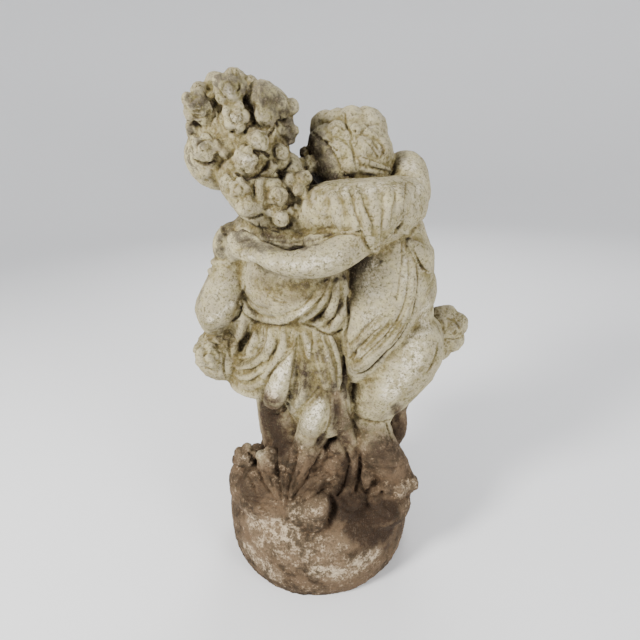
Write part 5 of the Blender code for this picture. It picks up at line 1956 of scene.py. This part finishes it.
@dataclass(frozen=True)
class Setting:
    """A plain pale floor that rises far off, soft light and the camera at the eye of the back.

    Lengths are metres. Each of the lights is where it hangs, how wide it is, its power and colour,
    and all of them look at aim.
    """

    floor_reach: float = 2.6
    floor_bend: float = 1.2
    floor_rise: float = 3.0
    floor_colour: Colour = (0.90, 0.905, 0.92)
    floor_roughness: float = 0.9
    sky_colour: Colour = (0.97, 0.98, 1.0)
    sky_strength: float = 0.48
    lights: tuple = (
        ((-1.45, -1.0, 1.45), 0.55, 68.0, (1.0, 0.985, 0.95)),
        ((1.4, -1.5, 0.9), 0.9, 32.0, (1.0, 1.0, 1.0)),
        ((0.4, 1.5, 1.8), 1.2, 24.0, (1.0, 1.0, 1.0)),
    )
    aim: Row = (0.0, 0.0, 0.3)

    def lay_floor(self) -> bpy.types.Object:
        """Makes the floor: a wide disc with a rim that bends up."""
        clay = bmesh.new()
        profile = [Vector((0.0, 0.0, 0.0)), Vector((self.floor_reach, 0.0, 0.0))]
        for i in range(1, 9):
            angle = math.radians(90.0 * i / 8)
            aside = self.floor_reach + self.floor_bend * math.sin(angle)
            profile.append(Vector((aside, 0.0, self.floor_bend * (1.0 - math.cos(angle)))))
        profile.append(Vector((self.floor_reach + self.floor_bend, 0.0, self.floor_rise)))
        verts = [clay.verts.new(spot) for spot in profile]
        edges = [clay.edges.new(pair) for pair in zip(verts, verts[1:])]
        bmesh.ops.spin(
            clay,
            geom=[*verts, *edges],
            axis=(0, 0, 1),
            cent=(0, 0, 0),
            angle=math.tau,
            steps=64,
            use_merge=True,
        )
        bmesh.ops.remove_doubles(clay, verts=clay.verts, dist=1e-6)
        bmesh.ops.recalc_face_normals(clay, faces=clay.faces)
        mesh = bpy.data.meshes.new("floor")
        clay.to_mesh(mesh)
        clay.free()
        mesh.shade_smooth()
        floor = bpy.data.objects.new("floor", mesh)
        bpy.context.scene.collection.objects.link(floor)
        paint = bpy.data.materials.new("floor paint")
        paint.use_nodes = True
        shader = paint.node_tree.nodes["Principled BSDF"]
        shader.inputs["Base Color"].default_value = (*self.floor_colour, 1.0)
        shader.inputs["Roughness"].default_value = self.floor_roughness
        mesh.materials.append(paint)
        return floor

    def light(self) -> None:
        """Hangs the soft lights and the pale sky."""
        for i, (spot, size, power, colour) in enumerate(self.lights):
            lamp = bpy.data.lights.new(f"soft light {i + 1}", "AREA")
            lamp.shape = "DISK"
            lamp.size = size
            lamp.energy = power
            lamp.color = colour
            obj = bpy.data.objects.new(lamp.name, lamp)
            obj.location = spot
            ahead = Vector(self.aim) - Vector(spot)
            obj.rotation_euler = ahead.to_track_quat("-Z", "Y").to_euler()
            bpy.context.scene.collection.objects.link(obj)
        world = bpy.data.worlds.new("pale sky")
        world.use_nodes = True
        sky = world.node_tree.nodes["Background"]
        sky.inputs["Color"].default_value = (*self.sky_colour, 1.0)
        sky.inputs["Strength"].default_value = self.sky_strength
        bpy.context.scene.world = world

    def aim_camera(self, eye: Eye) -> None:
        """Sets the camera at an eye."""
        data = bpy.data.cameras.new("camera")
        data.sensor_width = 36.0
        data.lens = data.sensor_width * eye.focal / (2.0 * eye.middle)
        data.clip_start = 0.02
        camera = bpy.data.objects.new("camera", data)
        right, up, ahead = eye.axes()
        turn = Matrix((right, up, -ahead)).transposed().to_4x4()
        camera.matrix_world = Matrix.Translation(Vector(eye.spot) * (1.0 / MILLIMETRES)) @ turn
        bpy.context.scene.collection.objects.link(camera)
        bpy.context.scene.camera = camera


def main() -> None:
    """Builds the piece and its setting."""
    logging.basicConfig(level=logging.INFO, format="%(message)s")
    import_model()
    low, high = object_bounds()
    piece = Group().build(low, high)
    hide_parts("embracing_putti")
    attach(piece, "root")
    log.info("%s stands for embracing_putti", piece.name)
    setting = Setting()
    setting.lay_floor()
    setting.light()
    setting.aim_camera(BACK_EYE)


if __name__ == "__main__":
    main()
